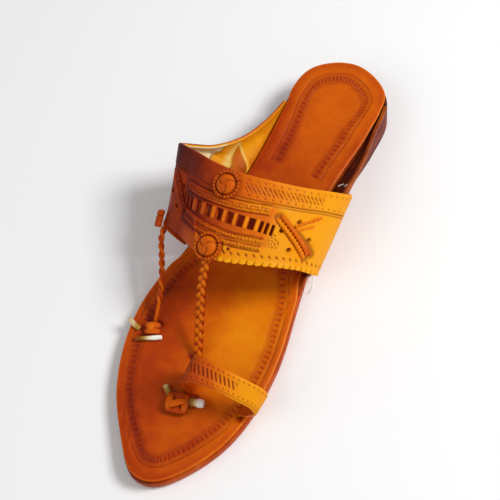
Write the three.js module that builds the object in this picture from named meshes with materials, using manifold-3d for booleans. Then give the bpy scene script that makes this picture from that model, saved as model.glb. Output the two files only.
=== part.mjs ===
// A Kolhapuri sandal for the right foot, cut from vegetable-tanned leather and laced together.
// Millimetres, +Z up, the floor at Z = 0, the toe towards -Y and the foot's inner side towards +X.
// The sole is an outsole with a stacked heel and an insole laid on it. Two thin side flaps, the ears,
// stand on the outsole's rim at the waist, and the instep band is sewn round the outside of them.
import * as THREE from 'three';
import { mergeVertices } from 'three/addons/utils/BufferGeometryUtils.js';
import Module from 'manifold-3d';

const wasm = await Module();
wasm.setup();

// ---- Driving sizes -------------------------------------------------------------------------
const length = 271.5;
const gap = 0.3;
const outsole = { thickness: 5.2 };
const insole = { thickness: 3.8, inset: 0.6 };
const heel = { raise: 14, lifts: 3, breast: 70, hollow: 4 };
const waist = { front: -14, back: 66 };
const toeSpring = { from: -98, rise: 2.6 };
const band = { wall: 2.3 };
const ear = { wall: 1.8 };
const toeLoop = { wall: 2.1 };
const braid = { width: 6.4, thickness: 3 };
const thong = { width: 3.4, thickness: 2.6 };
const rosette = { radius: 8, dome: 5.4, rim: 1.4, height: 4.2 };
const slotRoom = 0.6;

// ---- Reading tables ------------------------------------------------------------------------
// A column of a table at place t of its key column, on a smooth curve through the rows.
function read(table, key, column, t) {
  const last = table.length - 1;
  let i = 0;
  while (i < last - 1 && t > table[i + 1][key]) i += 1;
  const slope = (j) => {
    const a = table[Math.max(j - 1, 0)];
    const b = table[Math.min(j + 1, last)];
    return (b[column] - a[column]) / (b[key] - a[key]);
  };
  const from = table[i];
  const to = table[i + 1];
  const span = to[key] - from[key];
  const s = THREE.MathUtils.clamp((t - from[key]) / span, 0, 1);
  const rise = s * s * (3 - 2 * s);
  return from[column] * (1 - rise) + to[column] * rise
    + span * (slope(i) * s * (1 - s) * (1 - s) - slope(i + 1) * s * s * (1 - s));
}

// Gives each row of a route its share of the way along, from 0 to 1, as the column "at".
function spaced(route, pointOf) {
  const ways = [0];
  for (let i = 1; i < route.length; i += 1) {
    ways.push(ways[i - 1] + pointOf(route[i]).distanceTo(pointOf(route[i - 1])));
  }
  return route.map((row, i) => ({ ...row, at: ways[i] / ways[ways.length - 1] }));
}

// The middle of a row that has a rear and a front edge.
const routeMiddle = (row) => new THREE.Vector3(
  (row.rearX + row.frontX) / 2, (row.rearY + row.frontY) / 2, (row.rearZ + row.frontZ) / 2,
);

// The point at "across" along a strip's two edges, and at "down" between them, from rear to front.
function ruled(table, across, down) {
  const edge = (name) => new THREE.Vector3(...['X', 'Y', 'Z'].map(
    (axis) => read(table, 'at', name + axis, across),
  ));
  return edge('rear').lerp(edge('front'), down);
}

const steps = (count) => Array.from({ length: count + 1 }, (_, i) => i / count);

// ---- Closed solids -------------------------------------------------------------------------
// The solid between two grids of points that have the same rows and columns.
function solidBetween(upper, lower) {
  const rows = upper.length;
  const columns = upper[0].length;
  const points = [...upper.flat(), ...lower.flat()];
  const under = rows * columns;
  const index = [];
  const face = (a, b, c, d) => index.push(a, b, c, a, c, d);
  for (let r = 0; r < rows - 1; r += 1) {
    for (let c = 0; c < columns - 1; c += 1) {
      const a = r * columns + c;
      face(a, a + 1, a + columns + 1, a + columns);
      face(under + a, under + a + columns, under + a + columns + 1, under + a + 1);
    }
    const left = r * columns;
    const right = left + columns - 1;
    face(left, left + columns, under + left + columns, under + left);
    face(right, under + right, under + right + columns, right + columns);
  }
  for (let c = 0; c < columns - 1; c += 1) {
    const far = (rows - 1) * columns + c;
    face(c, under + c, under + c + 1, c + 1);
    face(far, far + 1, under + far + 1, under + far);
  }
  return facingOut(points, index);
}

// The mesh with its faces turned outwards, which its signed volume tells.
function facingOut(points, index) {
  let volume = 0;
  for (let i = 0; i < index.length; i += 3) {
    const [a, b, c] = [points[index[i]], points[index[i + 1]], points[index[i + 2]]];
    volume += a.dot(b.clone().cross(c));
  }
  const turned = volume < 0 ? index.toReversed() : index;
  const geometry = new THREE.BufferGeometry();
  geometry.setAttribute('position', new THREE.Float32BufferAttribute(points.flatMap((p) => p.toArray()), 3));
  geometry.setIndex(turned);
  return geometry;
}

// The unit normals of a grid of points, on the side away from the point "inside".
function normalsOf(grid, inside) {
  const rows = grid.length - 1;
  const columns = grid[0].length - 1;
  return grid.map((row, r) => row.map((point, c) => {
    const along = grid[Math.min(r + 1, rows)][c].clone().sub(grid[Math.max(r - 1, 0)][c]);
    const across = row[Math.min(c + 1, columns)].clone().sub(row[Math.max(c - 1, 0)]);
    const normal = along.cross(across).normalize();
    return normal.dot(point.clone().sub(inside)) < 0 ? normal.negate() : normal;
  }));
}

const pushed = (grid, normals, distance) => grid.map((row, r) => row.map(
  (point, c) => point.clone().addScaledVector(normals[r][c], distance),
));

// A sheet of leather whose outer face is the grid, with its wall on the inner side.
function leather(grid, wall, inside) {
  return solidBetween(grid, pushed(grid, normalsOf(grid, inside), -wall));
}

function solidOf(geometry) {
  const bare = geometry.clone();
  bare.deleteAttribute('normal');
  bare.deleteAttribute('uv');
  const merged = mergeVertices(bare, 1e-4);
  return new wasm.Manifold(new wasm.Mesh({
    numProp: 3,
    vertProperties: new Float32Array(merged.attributes.position.array),
    triVerts: new Uint32Array(merged.index.array),
  }));
}

function geometryOf(solid) {
  const mesh = solid.getMesh();
  const geometry = new THREE.BufferGeometry();
  geometry.setAttribute('position', new THREE.BufferAttribute(mesh.vertProperties, 3));
  geometry.setIndex(new THREE.BufferAttribute(mesh.triVerts, 1));
  return geometry;
}

// ---- The last: the sole's outline and heights ------------------------------------------------
// "turn" goes round each side in degrees, from the back of the heel (0) to the toe tip (180), at
// y = length / 2 * cos(turn). The edge lies medial or lateral * sin(turn) from the centre line.
const soleEdge = [
  { turn: 0, medial: 54, lateral: 53 },
  { turn: 22.5, medial: 59, lateral: 58.4 },
  { turn: 45, medial: 39.5, lateral: 41 },
  { turn: 67.5, medial: 25.9, lateral: 31.4 },
  { turn: 90, medial: 29.5, lateral: 41.2 },
  { turn: 112.5, medial: 41, lateral: 52.7 },
  { turn: 135, medial: 47, lateral: 52.6 },
  { turn: 157.5, medial: 44.4, lateral: 42.6 },
  { turn: 180, medial: 45.5, lateral: 44.8 },
];

function edgeX(side, y) {
  const turn = Math.acos(THREE.MathUtils.clamp(y / (length / 2), -1, 1));
  const reach = read(soleEdge, 'turn', side, THREE.MathUtils.radToDeg(turn)) * Math.sin(turn);
  return side === 'medial' ? reach : -reach;
}

// How far the outsole's underside is off the floor: the heel's height, the arch and the toe spring.
function ground(y) {
  const climb = THREE.MathUtils.smoothstep(y, waist.front, waist.back);
  const tip = THREE.MathUtils.clamp((toeSpring.from - y) / (length / 2 + toeSpring.from), 0, 1);
  return heel.raise * climb + toeSpring.rise * tip * tip;
}

const outsoleTop = (y) => ground(y) + outsole.thickness;
const insoleUnder = (y) => outsoleTop(y) + gap;
const insoleTop = (y) => insoleUnder(y) + insole.thickness;

// ---- Instep band -----------------------------------------------------------------------------
// The band's outer face is ruled between its rear and its front edge. The rows go over the foot
// from the outer side to the inner side.
const bandRoute = [
  { rearX: -34.2, rearY: 47, rearZ: 18.5, frontX: -44.8, frontY: -4.5, frontZ: 7.5 },
  { rearX: -49.5, rearY: 45, rearZ: 28.5, frontX: -50.2, frontY: -6, frontZ: 18 },
  { rearX: -58.5, rearY: 39.5, rearZ: 39.5, frontX: -52.8, frontY: -7, frontZ: 28 },
  { rearX: -61, rearY: 34, rearZ: 51, frontX: -48, frontY: -8.5, frontZ: 36 },
  { rearX: -48, rearY: 29, rearZ: 60.3, frontX: -36.5, frontY: -13.5, frontZ: 42 },
  { rearX: -31, rearY: 24.3, rearZ: 67.5, frontX: -22, frontY: -20.5, frontZ: 51 },
  { rearX: -12, rearY: 23.3, rearZ: 70.5, frontX: -7, frontY: -21, frontZ: 54 },
  { rearX: 5, rearY: 27.3, rearZ: 67.5, frontX: 8, frontY: -16.3, frontZ: 53 },
  { rearX: 19.5, rearY: 33.6, rearZ: 60.5, frontX: 22, frontY: -9.8, frontZ: 49 },
  { rearX: 30, rearY: 42, rearZ: 49.5, frontX: 31.6, frontY: -4.5, frontZ: 41.5 },
  { rearX: 36.6, rearY: 49.5, rearZ: 37.5, frontX: 37.4, frontY: -0.4, frontZ: 30 },
  { rearX: 34.4, rearY: 54.5, rearZ: 27, frontX: 36, frontY: 5, frontZ: 18 },
  { rearX: 26.9, rearY: 57, rearZ: 19.8, frontX: 31, frontY: 10.5, frontZ: 8.8 },
];
const bandTable = spaced(bandRoute, routeMiddle);
const bandInside = new THREE.Vector3(-8, 14, 22);

// The point of the band's outer face at "across", from 0 at the outer foot to 1 at the inner foot,
// and at "down", from 0 at the rear edge to 1 at the front edge.
const bandPoint = (across, down) => ruled(bandTable, across, down);

const small = 0.01;

// A frame on the band's face: +X over the foot to the inner side, +Y to the heel, +Z outwards.
function onBand(across, down) {
  const over = bandPoint(across + small, down).sub(bandPoint(across - small, down)).normalize();
  const back = bandPoint(across, down - small).sub(bandPoint(across, down + small));
  const out = over.clone().cross(back).normalize();
  back.copy(out).cross(over);
  return new THREE.Matrix4().makeBasis(over, back, out).setPosition(bandPoint(across, down));
}

function insideBand(across, down, depth) {
  return new THREE.Vector3(0, 0, -depth).applyMatrix4(onBand(across, down));
}

const bandRows = steps(44).map((across) => steps(5).map((down) => bandPoint(across, down)));
let bandSolid = solidOf(leather(bandRows, band.wall, bandInside));

// The row of windows cut through the middle of the band, narrow ones at its two ends. The row bows
// a little towards the front at its ends.
const windows = { length: 6.2, middle: 0.515, bow: 0.05, spread: 0.15 };
const windowRow = [
  { across: 0.32, width: 1.6 },
  { across: 0.341, width: 1.8 },
  { across: 0.382, width: 3.4 },
  { across: 0.424, width: 3.6 },
  { across: 0.464, width: 3.6 },
  { across: 0.5, width: 3.5 },
  { across: 0.535, width: 3.4 },
  { across: 0.57, width: 3.2 },
  { across: 0.6, width: 1.7 },
  { across: 0.618, width: 1.6 },
  { across: 0.636, width: 1.5 },
];
const windowsMiddle = (windowRow[0].across + windowRow.at(-1).across) / 2;
for (const { across, width } of windowRow) {
  const bow = windows.bow * ((across - windowsMiddle) / windows.spread) ** 2;
  const punch = new THREE.BoxGeometry(width, windows.length, band.wall * 6);
  punch.applyMatrix4(onBand(across, windows.middle + bow));
  bandSolid = bandSolid.subtract(solidOf(punch));
}

// ---- Straps ------------------------------------------------------------------------------------
const routePoint = (row) => new THREE.Vector3(row.x, row.y, row.z);

// A flat strap with rounded edges along a route, its width across the shoe.
function strapAlong(route, { width, thickness }, count) {
  const table = spaced(route, routePoint);
  const at = (t) => new THREE.Vector3(...['x', 'y', 'z'].map((axis) => read(table, 'at', axis, t)));
  const section = [
    { across: -0.5, up: 0.2 },
    { across: -0.3, up: 0.5 },
    { across: 0.3, up: 0.5 },
    { across: 0.5, up: 0.2 },
  ];
  const faces = [1, -1].map((sign) => steps(count).map((t) => {
    const way = at(Math.min(t + small, 1)).sub(at(Math.max(t - small, 0))).normalize();
    const side = new THREE.Vector3(1, 0, 0).addScaledVector(way, -way.x).normalize();
    const up = side.clone().cross(way);
    return section.map((point) => at(t)
      .addScaledVector(side, point.across * width)
      .addScaledVector(up, sign * point.up * thickness));
  }));
  return solidBetween(...faces);
}

// The braid is sewn in under the front rosette and ends in the sole behind the toe loop.
const frontRosette = { across: 0.46, down: 0.89 };
const braidDepth = band.wall / 2 + 0.8;
const braidStart = insideBand(frontRosette.across, 0.86, braidDepth);
const braidEdge = insideBand(frontRosette.across, 1.02, braidDepth);
const strapFoot = outsoleTop(0 - length / 4) + gap * 2;
const braidRoute = [
  { x: braidStart.x, y: braidStart.y, z: braidStart.z },
  { x: braidEdge.x, y: braidEdge.y, z: braidEdge.z },
  { x: -13.2, y: -32, z: 38 },
  { x: -10.2, y: -42.5, z: 27.3 },
  { x: -7.2, y: -52, z: 18.8 },
  { x: -4.6, y: -60, z: 12 },
  { x: -3.8, y: -63, z: 8.6 },
  { x: -3.7, y: -63.6, z: strapFoot },
];

// The thong is tied to the band's outer front corner and goes into the sole beside the little toe.
const thongStart = insideBand(0.185, 0.95, band.wall / 2);
const thongRoute = [
  { x: thongStart.x, y: thongStart.y, z: thongStart.z },
  { x: -49.6, y: -13.5, z: 30.5 },
  { x: -44.6, y: -23, z: 29 },
  { x: -39.6, y: -33, z: 25.6 },
  { x: -36.8, y: -42, z: 20 },
  { x: -35.6, y: -49.5, z: 13.6 },
  { x: -35.5, y: -53, z: 9.4 },
  { x: -35.4, y: -53.8, z: strapFoot },
];

const upper = bandSolid
  .add(solidOf(strapAlong(braidRoute, braid, 22)))
  .add(solidOf(strapAlong(thongRoute, thong, 22)));

// ---- Toe loop ----------------------------------------------------------------------------------
// From its inner leg beside the big toe over the toe and down through the insole near the edge.
const loopRoute = [
  { rearX: -0.8, rearY: -69.8, rearZ: strapFoot, frontX: -0.8, frontY: -82.8, frontZ: strapFoot },
  { rearX: -0.8, rearY: -69.7, rearZ: 9.7, frontX: -0.8, frontY: -82.8, frontZ: 9.7 },
  { rearX: -1.4, rearY: -69.4, rearZ: 15, frontX: -1.6, frontY: -82.8, frontZ: 14.5 },
  { rearX: -2, rearY: -68.6, rearZ: 26, frontX: -2, frontY: -82.8, frontZ: 24 },
  { rearX: 1.8, rearY: -67.8, rearZ: 34.8, frontX: 2.6, frontY: -82.6, frontZ: 32.2 },
  { rearX: 11.5, rearY: -68.2, rearZ: 37, frontX: 12.4, frontY: -81.3, frontZ: 33.6 },
  { rearX: 21.8, rearY: -68.6, rearZ: 36, frontX: 22.4, frontY: -80.3, frontZ: 32 },
  { rearX: 31, rearY: -68, rearZ: 32.5, frontX: 31.4, frontY: -79.8, frontZ: 28.8 },
  { rearX: 39.5, rearY: -67, rearZ: 26.5, frontX: 38.8, frontY: -79, frontZ: 23.6 },
  { rearX: 42.6, rearY: -66.8, rearZ: 18.5, frontX: 41.4, frontY: -79.4, frontZ: 16.8 },
  { rearX: 39.2, rearY: -67.8, rearZ: 12.6, frontX: 37.8, frontY: -80.6, frontZ: 12 },
  { rearX: 34, rearY: -69.3, rearZ: 9.9, frontX: 32.4, frontY: -82.1, frontZ: 9.9 },
  { rearX: 33.8, rearY: -69.4, rearZ: strapFoot, frontX: 32.2, frontY: -82.2, frontZ: strapFoot },
];
const loopTable = spaced(loopRoute, routeMiddle);
const loopInside = new THREE.Vector3(18, -75, 16);
const loopRows = steps(36).map((across) => steps(2).map((down) => ruled(loopTable, across, down)));

// ---- Ears --------------------------------------------------------------------------------------
// Each ear stands on the outsole's rim. Under the band it follows the band's inner face up to "top".
// Behind the band it dies away towards the heel: its rows give how much flare and rise are left.
const ears = {
  ear_lateral: {
    side: 'lateral',
    foot: 0,
    top: 0.16,
    frontAtFoot: 0.98,
    frontAtTop: 0.9,
    tail: [
      { y: 47, flare: 1, rise: 1 },
      { y: 55, flare: 0.64, rise: 0.78 },
      { y: 63, flare: 0.35, rise: 0.57 },
      { y: 78, flare: 0.1, rise: 0.33 },
      { y: 92, flare: 0, rise: 0.23 },
    ],
  },
  ear_medial: {
    side: 'medial',
    foot: 1,
    top: 0.85,
    frontAtFoot: 1.12,
    frontAtTop: 0.9,
    tail: [
      { y: 57, flare: 1, rise: 1 },
      { y: 67, flare: 0.86, rise: 0.8 },
      { y: 80, flare: 0.58, rise: 0.54 },
      { y: 98, flare: 0.16, rise: 0.3 },
      { y: 112, flare: 0, rise: 0.2 },
    ],
  },
};
const earSteps = { under: 12, behind: 10, up: 5 };

function earRows({ side, foot, top, frontAtFoot, frontAtTop, tail }) {
  const depth = band.wall + gap;
  const underBand = (way) => {
    const flap = steps(earSteps.up).map((share) => insideBand(
      THREE.MathUtils.lerp(foot, top, share),
      way * THREE.MathUtils.lerp(frontAtFoot, frontAtTop, share),
      depth,
    ));
    const y = flap[0].y;
    return [new THREE.Vector3(edgeX(side, y), y, outsoleTop(y) + gap), ...flap];
  };
  const first = underBand(0);
  const behind = steps(earSteps.behind).slice(1).map((share) => {
    const y = THREE.MathUtils.lerp(tail[0].y, tail.at(-1).y, share);
    const flare = read(tail, 'y', 'flare', y);
    const rise = read(tail, 'y', 'rise', y);
    return first.map((point) => new THREE.Vector3(
      edgeX(side, y) + (point.x - first[0].x) * flare,
      y + (first[0].y - tail[0].y) + (point.y - first[0].y) * flare,
      outsoleTop(y) + gap + (point.z - first[0].z) * rise,
    ));
  });
  return [...behind.toReversed(), ...steps(earSteps.under).map(underBand)];
}

// ---- Sole --------------------------------------------------------------------------------------
const soleTurns = { heel: 4, toe: 176, steps: 43 };

// A layer of the sole between two heights, worked out at each y. "drawIn" moves its edge inwards on
// each side, and "endInset" does so at the heel and the toe.
function soleLayer(topAt, underAt, drawIn = () => 0, endInset = 0) {
  const grid = (heightAt) => steps(soleTurns.steps).map((share) => {
    const turn = THREE.MathUtils.degToRad(THREE.MathUtils.lerp(soleTurns.heel, soleTurns.toe, share));
    const y = (length / 2) * Math.cos(turn);
    const lateral = edgeX('lateral', y) + drawIn('lateral', y);
    const medial = edgeX('medial', y) - drawIn('medial', y);
    const inY = y - endInset * Math.cos(turn);
    return steps(4).map((c) => new THREE.Vector3(
      THREE.MathUtils.lerp(lateral, medial, c), inY, heightAt(y),
    ));
  });
  return solidBetween(grid(topAt), grid(underAt));
}

// The insole is drawn in along the waist, where the ears stand beside it on the outsole's rim.
const earFeet = {
  lateral: { front: -20, back: 106 },
  medial: { front: -10, back: 126 },
  fade: 12,
};
function insoleDrawIn(side, y) {
  const { front, back } = earFeet[side];
  const rises = THREE.MathUtils.smoothstep(y, front, front + earFeet.fade);
  const falls = THREE.MathUtils.smoothstep(y, back - earFeet.fade, back);
  return insole.inset + (ear.wall + gap) * rises * (1 - falls);
}

// A slot through the insole where a strap goes in, turned by "turn" radians about the vertical.
function slotAt(x, y, width, depth, turn = 0) {
  const punch = new THREE.BoxGeometry(width + 2 * slotRoom, depth + 2 * slotRoom, insole.thickness * 6);
  punch.rotateZ(turn);
  punch.translate(x, y, insoleTop(y));
  return solidOf(punch);
}
const loopFeet = [loopRoute[0], loopRoute.at(-1)].map((row) => {
  const middle = routeMiddle(row);
  const turn = Math.atan2(row.rearX - row.frontX, row.frontY - row.rearY) + Math.PI;
  const inwards = Math.sign(loopInside.x - middle.x);
  return slotAt(
    middle.x + (inwards * toeLoop.wall) / 2, middle.y, toeLoop.wall, row.rearY - row.frontY, turn,
  );
});
const braidFoot = braidRoute.at(-1);
const thongFoot = thongRoute.at(-1);
const slots = [
  ...loopFeet,
  slotAt(braidFoot.x, braidFoot.y + 0.6, braid.width, braid.thickness + 1.2),
  slotAt(thongFoot.x, thongFoot.y + 0.4, thong.width, thong.thickness + 1.2),
];
const insoleSolid = slots.reduce(
  (solid, slot) => solid.subtract(slot),
  solidOf(soleLayer(insoleTop, insoleUnder, insoleDrawIn, insole.inset)),
);

// The heel's lifts, from the floor up, end at a breast that is hollowed a little.
function heelLift(number) {
  const pitch = heel.raise / heel.lifts;
  const breastTurn = Math.acos(heel.breast / (length / 2));
  const grid = (z) => steps(14).map((share) => {
    const turn = THREE.MathUtils.lerp(THREE.MathUtils.degToRad(soleTurns.heel), breastTurn, share);
    const y = (length / 2) * Math.cos(turn);
    return steps(4).map((c) => new THREE.Vector3(
      THREE.MathUtils.lerp(edgeX('lateral', y), edgeX('medial', y), c),
      y + heel.hollow * 4 * c * (1 - c) * share ** 3,
      z,
    ));
  });
  return solidBetween(grid(pitch * number - gap), grid(pitch * (number - 1)));
}

// ---- Rosettes, tab and knots -------------------------------------------------------------------
function rosetteAt(across, down) {
  const profile = [
    [0, 0], [rosette.radius, 0], [rosette.radius, rosette.rim * 0.7], [rosette.radius - 0.6, rosette.rim],
    [rosette.dome + 0.6, rosette.rim], [rosette.dome, rosette.rim + 0.6],
    [rosette.dome * 0.8, rosette.height * 0.78], [rosette.dome * 0.42, rosette.height * 0.96],
    [0, rosette.height],
  ];
  const disc = new THREE.LatheGeometry(profile.map(([r, z]) => new THREE.Vector2(r, z)), 24);
  disc.rotateX(Math.PI / 2);
  disc.translate(0, 0, gap + 0.1);
  disc.applyMatrix4(onBand(across, down));
  return disc;
}

// The folded tab that clasps the thong's end to the band's outer front corner.
function thongTab() {
  const tab = new THREE.SphereGeometry(1, 12, 8);
  tab.scale(3.4, 6.2, 2.2);
  tab.translate(0, -1, 2.2 + gap + 0.9);
  tab.applyMatrix4(onBand(0.178, 0.9));
  return tab;
}

// A rolled end of thong lying on the insole between two points.
function rolledEnd(from, to, radius) {
  const axis = to.clone().sub(from);
  const roll = new THREE.CapsuleGeometry(radius, axis.length() - 2 * radius, 3, 10);
  roll.applyQuaternion(new THREE.Quaternion().setFromUnitVectors(
    new THREE.Vector3(0, 1, 0), axis.normalize(),
  ));
  const middle = from.clone().add(to).multiplyScalar(0.5);
  roll.translate(middle.x, middle.y, middle.z);
  return roll;
}

// A folded piece of thong, domed, lying on the insole.
function fold(x, y, turn, size) {
  const piece = new THREE.SphereGeometry(1, 14, 8);
  piece.scale(size.across / 2, size.along / 2, size.height / 2);
  piece.rotateZ(turn);
  piece.translate(x, y, insoleTop(y) + gap + size.height / 2);
  return piece;
}

const onInsole = (x, y, radius) => new THREE.Vector3(x, y, insoleTop(y) + gap + radius);

// ---- The sandal --------------------------------------------------------------------------------
const leatherColours = { tan: 0xc8550a, bright: 0xe07a10, dark: 0x8a2e08, pale: 0xe8dcc0 };
const sandal = new THREE.Group();

function addPiece(name, geometry, colour, roughness = 0.55) {
  const material = new THREE.MeshStandardMaterial({ color: colour, roughness, metalness: 0 });
  const mesh = new THREE.Mesh(geometry, material);
  mesh.name = name;
  sandal.add(mesh);
}

addPiece('outsole', soleLayer(outsoleTop, ground), leatherColours.dark, 0.7);
for (let number = 1; number <= heel.lifts; number += 1) {
  addPiece(`heel_lift_${number}`, heelLift(number), leatherColours.dark, 0.7);
}
addPiece('insole', geometryOf(insoleSolid), leatherColours.tan);
for (const [name, sizes] of Object.entries(ears)) {
  addPiece(name, leather(earRows(sizes), ear.wall, bandInside), leatherColours.bright);
}
addPiece('upper', geometryOf(upper), leatherColours.bright, 0.5);
addPiece('toe_loop', leather(loopRows, toeLoop.wall, loopInside), leatherColours.bright, 0.5);
addPiece('rosette_rear', rosetteAt(0.466, 0.18), leatherColours.bright, 0.5);
addPiece('rosette_front', rosetteAt(frontRosette.across, frontRosette.down), leatherColours.bright, 0.5);
addPiece('thong_tab', thongTab(), leatherColours.bright);
addPiece('toe_knot', fold(-2.2, -90.8, 0.5, { across: 9, along: 12, height: 5 }), leatherColours.bright);
addPiece(
  'toe_knot_end_inner',
  rolledEnd(onInsole(3.6, -86.6, 1.9), onInsole(12, -84.4, 1.9), 1.9),
  leatherColours.pale,
);
addPiece(
  'toe_knot_end_outer',
  rolledEnd(onInsole(-12, -84, 1.6), onInsole(-7.4, -87.6, 1.6), 1.6),
  leatherColours.pale,
);
addPiece('side_knot', fold(-34.2, -58.3, 0.4, { across: 10, along: 6, height: 4.4 }), leatherColours.bright);
addPiece(
  'side_knot_end',
  rolledEnd(onInsole(-40.2, -67.6, 1.7), onInsole(-27.2, -60.6, 1.7), 1.7),
  leatherColours.pale,
);

// The frame's origin is under the middle of the whole sandal.
const box = new THREE.Box3().setFromObject(sandal);
sandal.position.x = -(box.min.x + box.max.x) / 2;
sandal.position.y = -(box.min.y + box.max.y) / 2;

export default sandal;
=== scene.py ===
import math

import bmesh
import bpy
import numpy as np
from mathutils import Matrix, Vector


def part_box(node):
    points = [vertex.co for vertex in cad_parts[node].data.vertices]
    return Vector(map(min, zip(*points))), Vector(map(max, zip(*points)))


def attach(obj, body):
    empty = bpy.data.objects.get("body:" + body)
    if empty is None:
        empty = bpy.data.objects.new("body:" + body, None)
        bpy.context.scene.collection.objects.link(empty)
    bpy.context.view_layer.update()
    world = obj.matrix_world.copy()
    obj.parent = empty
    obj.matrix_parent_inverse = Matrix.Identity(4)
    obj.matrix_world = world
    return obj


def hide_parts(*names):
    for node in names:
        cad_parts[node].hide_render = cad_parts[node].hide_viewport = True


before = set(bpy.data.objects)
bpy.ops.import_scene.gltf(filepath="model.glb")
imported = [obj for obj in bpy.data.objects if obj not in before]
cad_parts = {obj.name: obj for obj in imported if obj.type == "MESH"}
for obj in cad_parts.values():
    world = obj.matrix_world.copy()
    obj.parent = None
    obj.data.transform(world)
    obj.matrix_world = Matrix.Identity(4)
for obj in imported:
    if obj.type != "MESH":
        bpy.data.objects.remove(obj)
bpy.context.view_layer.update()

# ---- Outsole -------------------------------------------------------------------------------
# The outsole is thick buffalo hide, cut to the shape of the right foot and left flat below. Its
# edge is dyed red-brown and burnished, with the layers of the hide still showing. Everything
# else is laced or pegged to it.
MM = 0.001
SOLE_LENGTH = 271.5
GAP = 0.3
OUTSOLE_THICK = 5.2

# degrees round from the back of the heel to the toe tip, then how far out the edge is on the
# inner and on the outer side
SOLE_EDGE = np.array([
    (0, 54, 53), (22.5, 59, 58.4), (45, 39.5, 41), (67.5, 25.9, 31.4), (90, 29.5, 41.2),
    (112.5, 41, 52.7), (135, 47, 52.6), (157.5, 44.4, 42.6), (180, 45.5, 44.8),
])
INNER, OUTER = 0, 1
HEEL_RAISE, WAIST_FRONT, WAIST_BACK = 14.0, -14.0, 66.0
TOE_SPRING_FROM, TOE_SPRING = -98.0, 2.6


def ramp(x, low, high):
    """0 below low, 1 above high, smooth between."""
    t = np.clip((x - low) / (high - low), 0, 1)
    return t * t * (3 - 2 * t)


def through(table, at):
    """The columns of a table at place "at" of its first column, on a smooth curve."""
    keys, rows = table[:, 0], table[:, 1:]
    at = np.clip(np.asarray(at, float), keys[0], keys[-1])
    i = np.clip(np.searchsorted(keys, at) - 1, 0, len(keys) - 2)
    before = np.maximum(np.arange(len(keys)) - 1, 0)
    after = np.minimum(np.arange(len(keys)) + 1, len(keys) - 1)
    slope = (rows[after] - rows[before]) / (keys[after] - keys[before])[:, None]
    span = (keys[i + 1] - keys[i])[..., None]
    s = (at - keys[i])[..., None] / span
    rise = s * s * (3 - 2 * s)
    bend = slope[i] * s * (1 - s) ** 2 - slope[i + 1] * s * s * (1 - s)
    return rows[i] * (1 - rise) + rows[i + 1] * rise + span * bend


def sole_edge(side, turn):
    """x and y of the sole's edge at "turn" radians round one side."""
    reach = through(SOLE_EDGE, np.degrees(np.abs(turn)))[..., side] * np.sin(turn)
    x = reach if side == INNER else -reach
    return np.stack([x, SOLE_LENGTH / 2 * np.cos(turn)], -1)


def edge_x(side, y):
    return sole_edge(side, np.arccos(np.clip(y / (SOLE_LENGTH / 2), -1, 1)))[..., 0]


def ground(y):
    """How far the outsole's underside is off the floor: heel, arch and toe spring."""
    tip = np.clip((TOE_SPRING_FROM - y) / (SOLE_LENGTH / 2 + TOE_SPRING_FROM), 0, 1)
    return HEEL_RAISE * ramp(y, WAIST_FRONT, WAIST_BACK) + TOE_SPRING * tip * tip


def outsole_top(y):
    return ground(y) + OUTSOLE_THICK


ALL_TURNS = np.linspace(0, math.pi, 1441)
SHIFT_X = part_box("outsole")[0].x / MM - sole_edge(OUTER, ALL_TURNS)[:, 0].min()
SHIFT = np.array([SHIFT_X, 0.0, 0.0])


def even_turns(rows):
    """Turns from heel to toe that put rows at an even spacing along the edge."""
    steps = sum(np.linalg.norm(np.diff(sole_edge(side, ALL_TURNS), axis=0), axis=1)
                for side in (INNER, OUTER))
    way = np.concatenate([[0], np.cumsum(steps)])
    return np.interp(np.linspace(0, way[-1], rows + 1), way, ALL_TURNS), way[-1] / 2


def alone(obj):
    bpy.ops.object.select_all(action="DESELECT")
    obj.select_set(True)
    bpy.context.view_layer.objects.active = obj


def blank(name, columns, rows):
    """A flat blank of hide, with the column and the row that each of its points is in."""
    bpy.ops.object.select_all(action="DESELECT")
    bpy.ops.mesh.primitive_grid_add(x_subdivisions=columns, y_subdivisions=rows, size=1)
    piece = bpy.context.object
    piece.name = piece.data.name = name
    flat = points_of(piece)
    column, row = (np.rint((flat[:, axis] + 0.5) * count).astype(int)
                   for axis, count in ((0, columns), (1, rows)))
    return piece, column, row


def points_of(piece):
    flat = np.zeros(len(piece.data.vertices) * 3)
    piece.data.vertices.foreach_get("co", flat)
    return flat.reshape(-1, 3)


def place(piece, points):
    """Puts the piece's points where they go on the shoe, given in the shoe's own millimetres."""
    piece.data.vertices.foreach_set("co", ((points + SHIFT) * MM).ravel())
    piece.data.update()


def own_points(piece):
    return points_of(piece) / MM - SHIFT


def unit(vectors):
    return vectors / np.linalg.norm(vectors, axis=-1, keepdims=True)


def tint(piece, dye, groove_and_shade=0.0, wear_and_highlight=0.0):
    """Keeps the dyer's work on the piece: how dark the dye, how deep the tool, how rubbed. In
    places these also carry painted shade and painted highlights.
    """
    for name, value in (("dye", dye), ("groove_and_shade", groove_and_shade), ("wear_and_highlight", wear_and_highlight)):
        layer = piece.data.attributes.new(name, "FLOAT", "POINT")
        value = np.broadcast_to(value, len(piece.data.vertices))
        layer.data.foreach_set("value", np.ascontiguousarray(value, np.float32))


def applied(piece, kind, **settings):
    alone(piece)
    modifier = piece.modifiers.new(kind.title(), kind)
    for name, value in settings.items():
        setattr(modifier, name, value)
    bpy.ops.object.modifier_apply(modifier=modifier.name)


def edit(piece, *steps):
    """Runs edit-mode operators on the whole piece."""
    alone(piece)
    bpy.ops.object.mode_set(mode="EDIT")
    bpy.ops.mesh.select_all(action="SELECT")
    for step in steps:
        step()
    bpy.ops.object.mode_set(mode="OBJECT")


def outwards():
    bpy.ops.mesh.normals_make_consistent(inside=False)


def turn_over(piece):
    edit(piece, lambda: bpy.ops.mesh.flip_normals())


def middle_face(piece):
    return piece.data.polygons[len(piece.data.polygons) // 2]


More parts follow.
